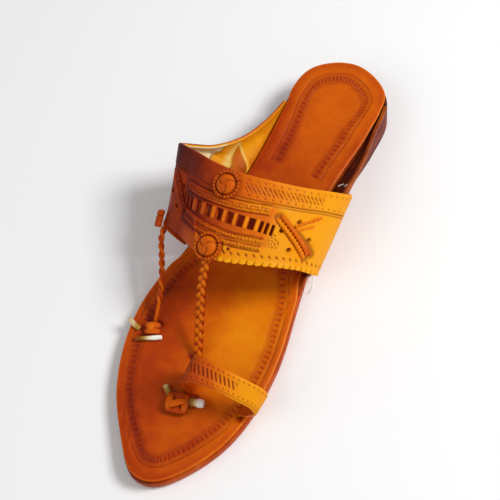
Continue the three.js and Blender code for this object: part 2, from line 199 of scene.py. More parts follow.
def face_up(piece):
    """Welds a flat blank and turns its faces up."""
    edit(piece, lambda: bpy.ops.mesh.remove_doubles(threshold=0.00002), outwards)
    if middle_face(piece).normal.z < 0:
        turn_over(piece)


def bevelled(piece, width, segments=3, angle=50):
    applied(piece, "BEVEL", width=width * MM, segments=segments, limit_method="ANGLE",
            angle_limit=math.radians(angle))


def finish_piece(piece, material, slot, *nodes, angle=50):
    """Smooths the piece, gives it its leather, and puts it in the place of the CAD nodes."""
    alone(piece)
    bpy.ops.object.shade_smooth_by_angle(angle=math.radians(angle))
    piece.data.materials.clear()
    piece.data.materials.append(material)
    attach(piece, "root")
    if nodes:
        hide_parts(*nodes)


def sole_blank(name, edges, middle, rows, inset=lambda side, y: 0 * y):
    """A blank whose columns run round inside the sole's edge at the distances in "edges", with
    "middle" more steps between the two sides. Gives the piece, the distance in from the edge,
    the way along it and the side of each point."""
    turns, length = even_turns(rows)
    piece, column, row = blank(name, 2 * len(edges) + middle - 2, rows)
    edges = np.asarray(edges)
    sides = {}
    for side in (INNER, OUTER):
        edge = sole_edge(side, turns)
        spine = np.stack([0.12 * edge[:, 0] - 3, edge[:, 1] * 0.8], -1)
        inward = spine - edge
        along = sole_edge(side, turns + 0.004) - sole_edge(side, turns - 0.004)
        normal = unit(np.stack([-along[:, 1], along[:, 0]], -1))
        depth = np.abs((inward * normal).sum(1))
        reach = (edges[None, :] + inset(side, edge[:, 1])[:, None]) / depth[:, None]
        sides[side] = edge[:, None] + inward[:, None] * reach[:, :, None]
    share = np.linspace(0, 1, middle + 1)[None, 1:-1, None]
    between = sides[OUTER][:, -1:] * (1 - share) + sides[INNER][:, -1:] * share
    sheet = np.concatenate([sides[OUTER], between, sides[INNER][:, ::-1]], axis=1)
    inwards = np.concatenate([edges, np.full(middle - 1, edges[-1] + 20), edges[::-1]])
    place_xy = sheet[row, column]
    way = np.linspace(0, length, rows + 1)[row]
    for turned, where in ((OUTER, column < len(edges)),
                          (INNER, column >= len(edges) + middle - 1)):
        edge = sole_edge(turned, turns)
        tangent = unit(np.gradient(edge, axis=0))
        way = way + where * ((place_xy - edge[row]) * tangent[row]).sum(1)
    side = np.where(column < len(edges) + middle // 2, OUTER, INNER)
    return piece, place_xy, inwards[column], way, side, turns[row]


def hex_colour(code):
    """The linear colour of a dye given as six hex digits."""
    parts = [int(code[i:i + 2], 16) / 255 for i in (0, 2, 4)]
    return (*[c / 12.92 if c < 0.04045 else ((c + 0.055) / 1.055) ** 2.4 for c in parts], 1.0)


DYES = ((0.0, "ec9c06"), (0.25, "e67e02"), (0.45, "d05c01"), (0.65, "b03c02"), (0.83, "7e2004"),
        (1.0, "3c1008"))
GROOVE_DYE = "6a1403"


def leather(name, dyes=DYES, groove_and_shade=GROOVE_DYE, rough=(0.42, 0.64), grain=0.3, coat=0.04,
            cloud=0.34, layers=0.0):
    """Vegetable-tanned leather: cloudy dye, darker in the tooling and in painted shade, lighter
    where rubbed and in painted highlights, with pores and creases.
    """
    material = bpy.data.materials.new(name)
    material.use_nodes = True
    tree = material.node_tree
    shader = tree.nodes["Principled BSDF"]

    def node(kind, **settings):
        made = tree.nodes.new(kind)
        for key, value in settings.items():
            if hasattr(made, key):
                setattr(made, key, value)
            else:
                made.inputs[key.replace("_", " ")].default_value = value
        return made

    def maths(operation, a, b):
        made = tree.nodes.new("ShaderNodeMath")
        made.operation = operation
        for socket, value in zip(made.inputs, (a, b)):
            if isinstance(value, float):
                socket.default_value = value
            else:
                tree.links.new(value, socket)
        return made.outputs[0]

    place_on = node("ShaderNodeTexCoord").outputs["Object"]

    def pattern(kind, output, **settings):
        made = node(kind, **settings)
        tree.links.new(place_on, made.inputs["Vector"])
        return made.outputs[output]

    def attribute(key):
        return node("ShaderNodeAttribute", attribute_name=key).outputs["Fac"]

    clouds = pattern("ShaderNodeTexNoise", "Fac", Scale=26.0, Detail=5.0, Roughness=0.6)
    blotches = pattern("ShaderNodeTexNoise", "Fac", Scale=140.0, Detail=4.0, Roughness=0.65)
    creases = pattern("ShaderNodeTexNoise", "Fac", Scale=620.0, Detail=5.0, Roughness=0.7)
    pores = pattern("ShaderNodeTexVoronoi", "Distance", Scale=1300.0, Randomness=1.0)

    uneven = maths("ADD", maths("MULTIPLY", maths("SUBTRACT", clouds, 0.5), cloud),
                   maths("MULTIPLY", maths("SUBTRACT", blotches, 0.5), cloud * 0.75))
    depth = maths("ADD", attribute("dye"), uneven)
    if layers:
        fibres = node("ShaderNodeTexNoise", Scale=1.0, Detail=4.0, Roughness=0.7)
        stretch = node("ShaderNodeMapping")
        stretch.inputs["Scale"].default_value = (60.0, 60.0, 1500.0)
        tree.links.new(place_on, stretch.inputs["Vector"])
        tree.links.new(stretch.outputs["Vector"], fibres.inputs["Vector"])
        layered = maths("MULTIPLY", maths("SUBTRACT", fibres.outputs["Fac"], 0.5), layers)
        depth = maths("ADD", depth, layered)
    depth = maths("SUBTRACT", depth, maths("MULTIPLY", attribute("wear_and_highlight"), 0.3))
    dyed = node("ShaderNodeValToRGB")
    stops = dyed.color_ramp.elements
    while len(stops) < len(dyes):
        stops.new(0.5)
    for stop, (at, code) in zip(stops, dyes):
        stop.position = at
        stop.color = hex_colour(code)
    tree.links.new(depth, dyed.inputs["Fac"])
    tooled = node("ShaderNodeMix", data_type="RGBA")
    tree.links.new(maths("MULTIPLY", attribute("groove_and_shade"), 0.85), tooled.inputs["Factor"])
    tree.links.new(dyed.outputs["Color"], tooled.inputs["A"])
    tooled.inputs["B"].default_value = hex_colour(groove_and_shade)
    tree.links.new(tooled.outputs["Result"], shader.inputs["Base Color"])

    dullness = node("ShaderNodeMapRange", To_Min=rough[0], To_Max=rough[1])
    tree.links.new(blotches, dullness.inputs["Value"])
    tree.links.new(maths("ADD", dullness.outputs[0], maths("MULTIPLY", attribute("groove_and_shade"), 0.15)),
                   shader.inputs["Roughness"])
    shader.inputs["Coat Weight"].default_value = coat
    shader.inputs["Coat Roughness"].default_value = 0.32
    shader.inputs["Specular IOR Level"].default_value = 0.1

    skin = maths("ADD", creases, maths("MULTIPLY", pores, 0.6))
    if layers:
        skin = maths("ADD", skin, maths("MULTIPLY", fibres.outputs["Fac"], 2.0))
    relief = node("ShaderNodeBump", Strength=grain, Distance=0.0004)
    tree.links.new(skin, relief.inputs["Height"])
    tree.links.new(relief.outputs["Normal"], shader.inputs["Normal"])
    return material


SOLE_DYES = ((0.0, "d8702a"), (0.3, "bc4c12"), (0.6, "7e2a0a"), (1.0, "341008"))
sole_leather = leather("sole_leather_burnished", SOLE_DYES, "2c0e06", rough=(0.38, 0.6), cloud=0.4,
                       layers=0.9, grain=0.5)

outsole, xy, *_ = sole_blank("outsole_hide", (0, 1.2, 3, 6, 12), 8, 320)
place(outsole, np.column_stack([xy, outsole_top(xy[:, 1])]))
face_up(outsole)
applied(outsole, "SOLIDIFY", thickness=OUTSOLE_THICK * MM, offset=-1, use_even_offset=False)
bevelled(outsole, 0.9)
own = own_points(outsole)
# painted shade: the outsole is darkened towards the outer side of the toe and round the heel, where
# its edge lies in shade
toe_side_shade = ramp(-own[:, 0], -20, 45) * ramp(-own[:, 1], -20, 100)
heel_side_shade = ramp(own[:, 1], 60, 120)
tint(outsole, 0.28 + 0.6 * toe_side_shade + 0.5 * heel_side_shade)
finish_piece(outsole, sole_leather, "sole_leather", "outsole")

# ---- Heel lifts ------------------------------------------------------------------------------
# Three lifts of the same hide are stacked under the heel and nailed up from below. Each is cut
# to the sole's edge, and its front, the breast, is hollowed a little.
LIFTS = 3
LIFT_COLUMNS, LIFT_ROWS = 16, 90
BREAST, BREAST_HOLLOW = 70.0, 4.0
BREAST_TURN = math.acos(BREAST / (SOLE_LENGTH / 2))
LIFT_PITCH = HEEL_RAISE / LIFTS

for number in range(1, LIFTS + 1):
    lift, column, row = blank("heel_lift_hide_%d" % number, LIFT_COLUMNS, LIFT_ROWS)
    turns = np.linspace(0, BREAST_TURN, LIFT_ROWS + 1)
    outer, inner = sole_edge(OUTER, turns)[row], sole_edge(INNER, turns)[row]
    across = (column / LIFT_COLUMNS)[:, None]
    flat = outer * (1 - across) + inner * across
    across = across[:, 0]
    flat[:, 1] += BREAST_HOLLOW * 4 * across * (1 - across) * (row / LIFT_ROWS) ** 3
    place(lift, np.column_stack([flat, np.full(len(flat), LIFT_PITCH * number - GAP)]))
    face_up(lift)
    applied(lift, "SOLIDIFY", thickness=(LIFT_PITCH - GAP) * MM, offset=-1)
    bevelled(lift, 0.5)
    tint(lift, 0.6 + 0.1 * (number % 2))
    finish_piece(lift, sole_leather, "sole_leather", "heel_lift_%d" % number)

# ---- Insole ----------------------------------------------------------------------------------
# The insole is smooth cow hide laid over the outsole. A border is tooled into it round the heel
# and round the forefoot: two engraved lines, a row of small arch stamps, and an inner line. Where
# a strap goes down through it the leather is slit and pressed in.
INSOLE_THICK, INSOLE_INSET = 3.8, 0.6
PRESSED_ROOM = 1.8  # left under the hide, so that what is pressed in stays off the outsole
EAR_WALL = 1.8
EAR_FEET = {OUTER: (-20, 106), INNER: (-10, 126)}
EAR_FADE = 12


def insole_top(y):
    return outsole_top(y) + GAP + INSOLE_THICK


def insole_inset(side, y):
    front, back = EAR_FEET[side]
    beside = ramp(y, front, front + EAR_FADE) * (1 - ramp(y, back - EAR_FADE, back))
    return INSOLE_INSET + (EAR_WALL + GAP) * beside


def engraved(distance, width):
    """A line cut by the swivel knife: 1 at its middle, 0 past its width."""
    return np.exp(-(distance / width) ** 2 * 2)


def stamped(along, off, pitch, length, width, lean=0.0):
    """A row of strokes across a line, one every pitch, leaning by "lean" in their length."""
    near = ((along - lean * off) / pitch) % 1 - 0.5
    stroke = np.clip(1.3 - (near * pitch / width) ** 2, 0, 1)
    return stroke * np.clip((length / 2 - np.abs(off)) / 0.4 + 0.5, 0, 1)


def punched(along, off, pitch, radius):
    """A row of round dots from a punch."""
    near = ((along / pitch) % 1 - 0.5) * pitch
    return np.clip(1.4 * (1 - (near ** 2 + off ** 2) / radius ** 2), 0, 1)


def inside(x, low, high, soft):
    return ramp(x, low - soft, low + soft) * (1 - ramp(x, high - soft, high + soft))


# degrees round from the heel, then how far in the border's outer line is on each side
BORDER_IN = np.array([
    (0, 7.8, 7.8), (50, 8.4, 7.4), (90, 6, 6), (100, 3.7, 4.2), (125, 4.2, 3.1), (142, 6.8, 3.3),
    (158, 7.6, 5.2), (180, 8.2, 8.2),
])
BORDER = (0.25, 0.6, 1.1, 1.8, 2.6, 3.5, 4.5, 5.4, *np.arange(6.0, 21.1, 0.5))
insole, xy, inwards, way, side, turn = sole_blank("insole_hide", (0, *BORDER), 14, 520,
                                                  insole_inset)
x, y = xy[:, 0], xy[:, 1]
border_in = through(BORDER_IN, np.degrees(turn))
from_line = inwards - np.where(side == INNER, border_in[:, INNER], border_in[:, OUTER])
bordered = np.maximum(1 - ramp(y, 4, 7), ramp(y, 57, 58.5)) * (inwards < 21.5)
STAMP_PITCH = 3.35
lines = engraved(from_line, 0.5) + 0.55 * engraved(from_line - 1.3, 0.42) \
    + 0.8 * engraved(from_line - 6.3, 0.5) + 0.45 * engraved(from_line - 7.4, 0.42)
arch = stamped(way, from_line - 3.8, STAMP_PITCH, 2.7, 0.55)
arch_ends = punched(way, from_line - 2.5, STAMP_PITCH, 0.75)
pressed_zone = inside(from_line, 1.9, 5.9, 0.4)
tooled = bordered * np.clip(lines + 0.9 * arch + 0.6 * arch_ends, 0, 1)
rounded = np.clip(1 - inwards / 1.4, 0, 1)
dish = 0.7 * ramp(inwards, 4, 20.5) * inside(y, -120, 118, 14)
sunk = 0.5 * np.clip(lines + arch, 0, 1) + 0.15 * pressed_zone
height = insole_top(y) - dish - 0.5 * rounded ** 2 - bordered * sunk

# the straps' slits: place, half length along the slit, turn
SLITS = ((-3.7, -63.0, 4.2, 0.0), (-35.4, -53.4, 3.0, 0.0), (0.3, -76.3, 7.4, 1.571),
         (32.0, -75.8, 7.4, 1.69))
# round each slit the insole is pressed in and darkened, partly as pressed leather and partly as
# painted shade in the hollow
slit = 0 * x
for slit_x, slit_y, half, lean in SLITS:
    along = (x - slit_x) * math.cos(lean) + (y - slit_y) * math.sin(lean)
    off = -(x - slit_x) * math.sin(lean) + (y - slit_y) * math.cos(lean)
    away = np.hypot(np.maximum(np.abs(along) - half, 0), off)
    slit = np.maximum(slit, np.clip(1 - away / 3.4, 0, 1) ** 2)
height = height - 1.1 * slit

# painted light: gold lightens the middle and inner side of the forefoot, where the light falls on
# it
gold = np.exp(-((x - 13) / 24) ** 2 - ((y + 38) / 37) ** 2)
red_waist = inside(y, 26, 84, 26) * (0.35 + 0.65 * ramp(-x, -30, 10))
# painted shadow: band_shadow darkens the insole under the band and a little in front of it, where
# the band's shadow falls
band_shadow = inside(y, 6, 34, 10)
# painted shade: outer_front_shade darkens the outer side of the forefoot, which lies in shade away
# from the light
outer_front_shade = ramp(-x, -8, 30) * ramp(-y, -4, 40) * (0.3 + 0.7 * ramp(inwards, 3, 10))
# painted light: the 0.12 taken off the dye at the inner front lightens the lit side of the forefoot
dye = 0.48 - 0.29 * gold + 0.06 * red_waist + 0.23 * outer_front_shade + 0.07 * ramp(-y, 70, 100) \
    - 0.12 * ramp(x, 16, 30) * ramp(-y, 55, 80) + 0.3 * slit \
    + 0.1 * (1 - ramp(inwards, 0.5, 6)) + 0.11 * bordered * pressed_zone \
    + 0.08 * ramp(-x, 4, 20) * inside(y, 50, 112, 16) \
    + 0.36 * band_shadow
place(insole, np.column_stack([xy, height]))
tint(insole, dye, np.clip(0.64 * tooled + slit, 0, 1), rounded * 0.8)
face_up(insole)
applied(insole, "SOLIDIFY", thickness=(INSOLE_THICK - PRESSED_ROOM) * MM, offset=-1)
insole_leather = leather("insole_leather_tooled", rough=(0.4, 0.6), coat=0.03, grain=0.22,
                         cloud=0.3)
finish_piece(insole, insole_leather, "insole_leather", "insole", angle=60)

# ---- Instep band -----------------------------------------------------------------------------
# The band is one strip of cow hide that goes over the instep. It is tooled flat on the bench,
# with a row of windows cut through it, then dyed, wetted and drawn over the last, and its feet
# are sewn down to the sole outside the ears.
BAND_WALL = 2.3

# across the foot from the outer side to the inner side: rear edge x, y, z and front edge x, y, z
BAND_ROUTE = np.array([
    (-34.2, 47, 18.5, -44.8, -4.5, 7.5), (-49.5, 45, 28.5, -50.2, -6, 18),
    (-58.5, 39.5, 39.5, -52.8, -7, 28), (-61, 34, 51, -48, -8.5, 36),
    (-48, 29, 60.3, -36.5, -13.5, 42), (-31, 24.3, 67.5, -22, -20.5, 51),
    (-12, 23.3, 70.5, -7, -21, 54), (5, 27.3, 67.5, 8, -16.3, 53),
    (19.5, 33.6, 60.5, 22, -9.8, 49), (30, 42, 49.5, 31.6, -3.8, 41.5),
    (36.6, 49.5, 37.5, 37.4, 1.4, 30), (34.4, 54.5, 27, 36, 7.2, 18),
    (26.9, 57, 19.8, 31, 11.6, 8.8),
])
BAND_INSIDE = np.array([-8, 14, 22])


def spaced(route, middles):
    """The route with its share of the way along, from 0 to 1, as its first column."""
    way = np.concatenate([[0], np.cumsum(np.linalg.norm(np.diff(middles, axis=0), axis=1))])
    return np.column_stack([way / way[-1], route]), way[-1]


BAND, BAND_LENGTH = spaced(BAND_ROUTE, (BAND_ROUTE[:, :3] + BAND_ROUTE[:, 3:]) / 2)


def on_strip(table, across, down):
    edges = through(table, across)
    down = np.asarray(down, float)[..., None]
    return edges[..., :3] * (1 - down) + edges[..., 3:] * down


def strip_frame(table, across, down, small=0.004):
    """Point, direction over the foot, direction to the rear, and outward normal on a strip."""
    across, down = np.broadcast_arrays(np.asarray(across, float), np.asarray(down, float))
    over = on_strip(table, across + small, down) - on_strip(table, across - small, down)
    back = on_strip(table, across, down - small) - on_strip(table, across, down + small)
    over = unit(over)
    out = unit(np.cross(over, back))
    return on_strip(table, across, down), over, np.cross(out, over), out


def on_band(across, down, lift=0.0):
    point, _, _, out = strip_frame(BAND, across, down)
    return point + out * np.asarray(lift, float)[..., None]


WINDOWS = ((0.32, 1.6), (0.341, 1.8), (0.382, 3.4), (0.424, 3.6), (0.464, 3.6), (0.5, 3.5),
           (0.535, 3.4), (0.57, 3.2), (0.6, 1.7), (0.618, 1.6), (0.636, 1.5))
WINDOW_LENGTH, WINDOW_MIDDLE, WINDOW_BOW, WINDOW_SPREAD = 6.2, 0.515, 0.05, 0.15
ROW_MIDDLE = (WINDOWS[0][0] + WINDOWS[-1][0]) / 2
BAND_WIDTH = 48.0
ROSETTE_SPOTS = ((0.466, 0.18), (0.46, 0.89))
STITCH_PITCH = 4.2


def cut_lines(breaks, step):
    """Places from the first break to the last, at most "step" apart, with one on every break."""
    lines = [breaks[0]]
    for low, high in zip(breaks, breaks[1:]):
        parts = max(1, round((high - low) / step))
        lines += list(np.linspace(low, high, parts + 1)[1:])
    return np.array(lines)


window_edges = [at + sign * width / 2 / BAND_LENGTH for at, width in WINDOWS for sign in (-1, 1)]
half_window = WINDOW_LENGTH / 2 / BAND_WIDTH
columns_at = cut_lines([0, *window_edges, 1], 0.56 / BAND_LENGTH)
rows_at = cut_lines([0, WINDOW_MIDDLE - half_window, WINDOW_MIDDLE + half_window, 1],
                    0.52 / BAND_WIDTH)
band, column, row = blank("band_hide", len(columns_at) - 1, len(rows_at) - 1)
across, level = columns_at[column], rows_at[row]
bow = WINDOW_BOW * np.clip(((across - ROW_MIDDLE) / WINDOW_SPREAD) ** 2, 0, 1.6)
down = level + bow * inside(level, 0.3, 0.72, 0.12)
along = across * BAND_LENGTH
width = np.linalg.norm(on_strip(BAND, across, 0 * down) - on_strip(BAND, across, 0 * down + 1),
                       axis=1)


def off_line(start, end, bend=0.0):
    """Millimetres to the front of a line tooled between two places on the band."""
    share = (across - start[0]) / (end[0] - start[0])
    line = start[1] + (end[1] - start[1]) * share + bend * (share - 0.5) ** 2
    return (down - line) * width


def strip_of(start, end, half, soft=0.5):
    """1 on a strip along a tooled line, 0 off it."""
    off = off_line(start, end)
    ends = inside(across, start[0], end[0], soft / BAND_LENGTH)
    return ends * np.clip((half - np.abs(off)) / soft + 0.5, 0, 1)


def stroke(start, end, half):
    """1 on a straight stroke between two places on the band, 0 past its half width."""
    a = np.array([start[0] * BAND_LENGTH, start[1] * BAND_WIDTH])
    b = np.array([end[0] * BAND_LENGTH, end[1] * BAND_WIDTH])
    spot = np.column_stack([along, down * BAND_WIDTH])
    share = np.clip(((spot - a) @ (b - a)) / ((b - a) @ (b - a)), 0, 1)
    away = np.linalg.norm(spot - a - share[:, None] * (b - a), axis=1)
    return np.clip(1 - (away / half) ** 2, 0, 1)


def hole(at, radius):
    away = np.hypot((across - at[0]) * BAND_LENGTH, (down - at[1]) * BAND_WIDTH)
    return np.clip((radius - away) / 0.35 + 0.5, 0, 1)


# the tools' marks: how high the leather stands, and how dark its grooves are
high, groove_and_shade = 0 * across, 0 * across


def press(high, groove_and_shade, mark, depth, dark):
    high -= depth * mark
    np.maximum(groove_and_shade, np.clip(mark, 0, 1) * dark, out=groove_and_shade)


rear_line = off_line((0.1, 0.262), (0.9, 0.262))
tooled_length = inside(across, 0.1, 0.885, 0.006)
press(high, groove_and_shade, tooled_length * engraved(rear_line, 0.55), 0.4, 0.95)
press(high, groove_and_shade, tooled_length * engraved(rear_line - 1.4, 0.5), 0.3, 0.75)
rear_rosette = np.hypot(along - ROSETTE_SPOTS[0][0] * BAND_LENGTH,
                        (down - ROSETTE_SPOTS[0][1]) * BAND_WIDTH)
rear_zone = inside(across, 0.49, 0.87, 0.004) * (rear_rosette > 9.2)
for level_of, shift in ((0.055, 0), (0.222, 2)):
    dots = punched(along + shift, off_line((0, level_of), (1, level_of)), 4.1, 0.62)
    press(high, groove_and_shade, rear_zone * dots, 0.45, 0.8)
slashed = inside(across, 0.49, 0.765, 0.004) * (rear_rosette > 9.2)
off = off_line((0, 0.14), (1, 0.14))
press(high, groove_and_shade, slashed * stamped(along, off, 2.3, 4.6, 0.44, lean=0.95), 0.5, 0.85)

upper_strip = ((0.315, 0.385), (0.612, 0.345))
lower_strip = ((0.318, 0.7), (0.622, 0.765))
for (start, end), half, beads in ((upper_strip, 2.3, (0.0,)), (lower_strip, 3.3, (-1.9, 1.9))):
    off = off_line(start, end)
    high += 0.75 * strip_of(start, end, half, 0.7)
    length_of = inside(across, start[0], end[0], 0.003)
    for side_of in (-1, 1):
        press(high, groove_and_shade, length_of * engraved(off - side_of * (half + 0.4), 0.6), 0.35, 1.0)
    if len(beads) > 1:
        for side_of in (-1, 1):
            press(high, groove_and_shade, length_of * engraved(off - side_of * 0.45, 0.4), 0.45, 0.9)
    for bead in beads:
        row_of = punched(along + 0.3 * bead, off - bead, 1.9, 0.85)
        high += 0.34 * length_of * row_of
        between = np.clip(1 - row_of * 3, 0, 1) * (np.abs(off - bead) < 1.15)
        press(high, groove_and_shade, length_of * between, 0.2, 0.75)

# bars between the windows are rounded over, and the two rows of hide beside them stand up
over_windows = inside(level, WINDOW_MIDDLE - half_window, WINDOW_MIDDLE + half_window, 0.012) \
    * inside(across, WINDOWS[0][0] - 0.012, WINDOWS[-1][0] + 0.012, 0.004)
nearest = np.min([np.abs(across - at) - w / 2 / BAND_LENGTH for at, w in WINDOWS], axis=0)
bar = np.clip(nearest * BAND_LENGTH / 1.2, 0, 1)
high += over_windows * (0.55 * np.sqrt(1 - (1 - bar) ** 2) - 0.25)
window_rim = np.clip(1 - np.hypot(np.maximum(nearest * BAND_LENGTH, 0),
                                  np.maximum(np.abs(level - WINDOW_MIDDLE) - half_window, 0)
                                  * BAND_WIDTH) / 0.5, 0, 1)
groove_and_shade = np.maximum(groove_and_shade, 0.75 * window_rim)

# laced crosses beside the windows, with the holes that their thongs come out of
CROSS_HOLES = ((0.710, 0.43), (0.665, 0.56), (0.767, 0.63), (0.710, 0.78))
OUTER_HOLES = ((0.262, 0.70), (0.226, 0.56), (0.283, 0.44))
for spot in (*CROSS_HOLES, *OUTER_HOLES):
    press(high, groove_and_shade, hole(spot, 1.3), 1.5, 1.0)
    high += 0.25 * (hole(spot, 2.2) - hole(spot, 1.3))
for spot in ((0.525, 0.86), (0.395, 0.84)):
    press(high, groove_and_shade, hole(spot, 0.9), 1.2, 1.0)
CROSS_PAIR = ((0.642, 0.40), (0.782, 0.84))
CROSS_SHORT = ((0.697, 0.54), (0.80, 0.79))
OUTER_PAIR = ((0.236, 0.34), (0.303, 0.70))
for start, end in (CROSS_PAIR, CROSS_SHORT, OUTER_PAIR):
    press(high, groove_and_shade, np.clip(stroke(start, end, 3.2) * 1.5, 0, 1), 0.3, 0.7)
fan = np.hypot((across - 0.622) * BAND_LENGTH, (down - 0.775) * BAND_WIDTH)
turn = np.arctan2((0.775 - down) * BAND_WIDTH, (across - 0.622) * BAND_LENGTH)
feather = (fan < 9) * (fan > 0.8) * (turn > -0.1) * (turn < 1.35)
seeds = np.clip(np.cos(fan * 2 * math.pi / 1.9) * np.cos(turn * 9.5) * 1.4, 0, 1)
press(high, groove_and_shade, feather * seeds, 0.4, 0.8)
for start, end in (((0.384, 0.70), (0.402, 0.85)), ((0.512, 0.80), (0.516, 0.86))):
    high += 0.9 * np.sqrt(stroke(start, end, 1.5))

# the front edge is whipped over from a row of slits between the front rosette and the inner foot
whipped = inside(across, 0.49, 0.9, 0.004)
from_front = (1 - down) * width
press(high, groove_and_shade, whipped * stamped(along, from_front - 4.7, STITCH_PITCH, 1.5, 0.62, lean=-0.9),
      0.6, 1.0)
lap = np.abs(((along / STITCH_PITCH) + 0.12) % 1 - 0.5) * 2
scallop = np.sqrt(np.clip(1 - lap ** 2, 0, 1))
turned = whipped * (1 - ramp(from_front, 0.9, 2.9))
high += turned * (0.8 * scallop - 0.3)
press(high, groove_and_shade, turned * (from_front < 1.9) * np.clip(1 - (1 - lap) / 0.2, 0, 1), 0.3, 0.9)
down = down + whipped * (1 - ramp(from_front, 1.5, 4)) * (1.1 * scallop - 0.55) / width

edge_off = np.minimum.reduce([down * width, (1 - down) * width + 3 * whipped])
rounded = np.clip(1 - edge_off / 1.1, 0, 1)
high -= 0.75 * rounded ** 2
grain_waves = 0.14 * np.sin(along * 0.21 + 1.3) * np.sin(down * 7.0)
high += grain_waves

# the band is darker towards its outer side: partly a darker dye and partly painted shade on the
# side away from the light
outer_dye_and_shade = 1 - ramp(across, 0.2, 0.7)
tooled_field = inside(across, 0.3, 0.63, 0.02) * inside(down, 0.3, 0.82, 0.03)
dye = 0.06 + 0.7 * outer_dye_and_shade + 0.1 * rounded + 0.27 * tooled_field \
    + 0.2 * inside(down, -0.1, 0.27, 0.03) * (1 - ramp(across, 0.55, 0.8)) \
    + 0.1 * ramp(across, 0.9, 1.0)
# the rounded bars between the windows, the scallops, the edges and the raised tooling are
# lightened, partly as rubbed wear and partly as painted highlight
wear_and_highlight = np.clip(0.4 * rounded + over_windows * bar + 1.2 * turned * scallop
               + 0.6 * (high > 0.35), 0, 1)

_, _, _, out = strip_frame(BAND, across, down)
place(band, on_band(across, down))


def pick(piece, kind, wanted):
    """Selects only the wanted edges or faces, in edit mode."""
    bpy.ops.mesh.select_all(action="DESELECT")
    mesh = bmesh.from_edit_mesh(piece.data)
    for part in getattr(mesh, kind):
        part.select_set(bool(wanted(part)))
    bmesh.update_edit_mesh(piece.data)


def in_window(face):
    spot = [vert.index for vert in face.verts]
    return abs(level[spot].mean() - WINDOW_MIDDLE) < half_window and any(
        abs(across[spot].mean() - at) < w / 2 / BAND_LENGTH for at, w in WINDOWS)


def remember(piece, out, high):
    """Keeps which way is out of the sheet and how high its tooling stands, at each point."""
    for name, kind, field, value in (("lift_of", "FLOAT", "value", high),
                                     ("out_of", "FLOAT_VECTOR", "vector", out)):
        kept = piece.data.attributes.new(name, kind, "POINT")
        kept.data.foreach_set(field, np.ascontiguousarray(value, np.float32).ravel())


def thicken(piece, wall, **flesh):
    """Gives a sheet its thickness on the inner side, then lets the tooling stand up on the outer
    side. The inner side is the flesh side, with no tooling, and has dyes of its own."""
    count = len(piece.data.vertices)
    lift = np.zeros(count, np.float32)
    piece.data.attributes["lift_of"].data.foreach_get("value", lift)
    out = np.zeros(count * 3, np.float32)
    piece.data.attributes["out_of"].data.foreach_get("vector", out)
    out = out.reshape(-1, 3)
    middle = middle_face(piece)
    if Vector(out[middle.vertices[0]]).dot(middle.normal) < 0:
        turn_over(piece)
    applied(piece, "SOLIDIFY", thickness=wall * MM, offset=-1)
    points = own_points(piece)
    points[:count] += out * lift[:, None]
    place(piece, points)
    for name in ("dye", "groove_and_shade", "wear_and_highlight"):
        value = np.zeros(len(points), np.float32)
        layer = piece.data.attributes[name].data
        layer.foreach_get("value", value)
        value[count:] = flesh.get(name, 0.0)
        layer.foreach_set("value", value)
    for name in ("lift_of", "out_of"):
        piece.data.attributes.remove(piece.data.attributes[name])


tint(band, dye, groove_and_shade, wear_and_highlight)
remember(band, out, high)
edit(band, lambda: pick(band, "faces", in_window), lambda: bpy.ops.mesh.delete(type="FACE"))
thicken(band, BAND_WALL, dye=0.5)
strap_leather = leather("strap_leather_tooled", rough=(0.42, 0.62), coat=0.03, grain=0.24,
                        cloud=0.3)
finish_piece(band, strap_leather, "strap_leather", "upper", angle=70)

# ---- Braid -----------------------------------------------------------------------------------
# A flat plait of three thin thongs is sewn in under the front rosette. It comes down between the
# first two toes and goes into the insole behind the toe loop.
BRAID_PITCH = 15.5
STRAP_FOOT = 5.8
BRAID_START, BRAID_EDGE = (on_band(0.46, at, -BAND_WALL / 2 - 0.8) for at in (0.86, 1.02))
BRAID_ROUTE = np.array([
    BRAID_START, BRAID_EDGE, (-13.2, -32, 38), (-10.2, -42.5, 27.3), (-7.2, -52, 18.8),
    (-4.6, -60, 12), (-3.8, -63, 8.6), (-3.7, -63.6, STRAP_FOOT),
])


def rise_of(edge):
    return abs(edge.verts[0].co.z - edge.verts[1].co.z)


def cord_blank(name, sides, lengths):
    """A round cord along z, cut into short lengths."""
    bpy.ops.object.select_all(action="DESELECT")
    bpy.ops.mesh.primitive_cylinder_add(vertices=sides, radius=0.5, depth=1)
    cord = bpy.context.object
    cord.name = cord.data.name = name
    edit(cord, lambda: pick(cord, "edges", lambda edge: rise_of(edge) > 0.5),
         lambda: bpy.ops.mesh.subdivide(number_cuts=lengths - 1))
    return cord


def laid_along(name, path, side, wide, thick, sides=10, blunt=0.5, taper=None):
    """A strand laid along a path, "wide" across "side" and "thick" at right angles to it. "side"
    is one direction, or one at each point of the path."""
    cord = cord_blank(name, sides, len(path) - 1)
    local = points_of(cord)
    step = np.rint((local[:, 2] + 0.5) * (len(path) - 1)).astype(int)
    way = unit(np.gradient(path, axis=0))
    side = unit(side - (side * way).sum(1)[:, None] * way)
    up = np.cross(way, side)
    length = np.concatenate([[0], np.cumsum(np.linalg.norm(np.diff(path, axis=0), axis=1))])
    from_end = np.minimum(length, length[-1] - length) / (blunt * thick)
    size = np.sqrt(1 - np.clip(1 - from_end, 0, 0.93) ** 2)
    if taper is not None:
        size = size * taper
    place(cord, path[step] + side[step] * (local[:, :1] * wide * size[step, None])
          + up[step] * (local[:, 1:2] * thick * size[step, None]))
    edit(cord, outwards)
    return cord


def joined(name, parts):
    """Joins like parts into one piece."""
    bpy.ops.object.select_all(action="DESELECT")
    for part in parts:
        part.select_set(True)
    bpy.context.view_layer.objects.active = parts[0]
    bpy.ops.object.join()
    parts[0].name = parts[0].data.name = name
    return parts[0]


def route_points(route, count):
    table, length = spaced(route, route)
    return through(table, np.linspace(0, 1, count)), length


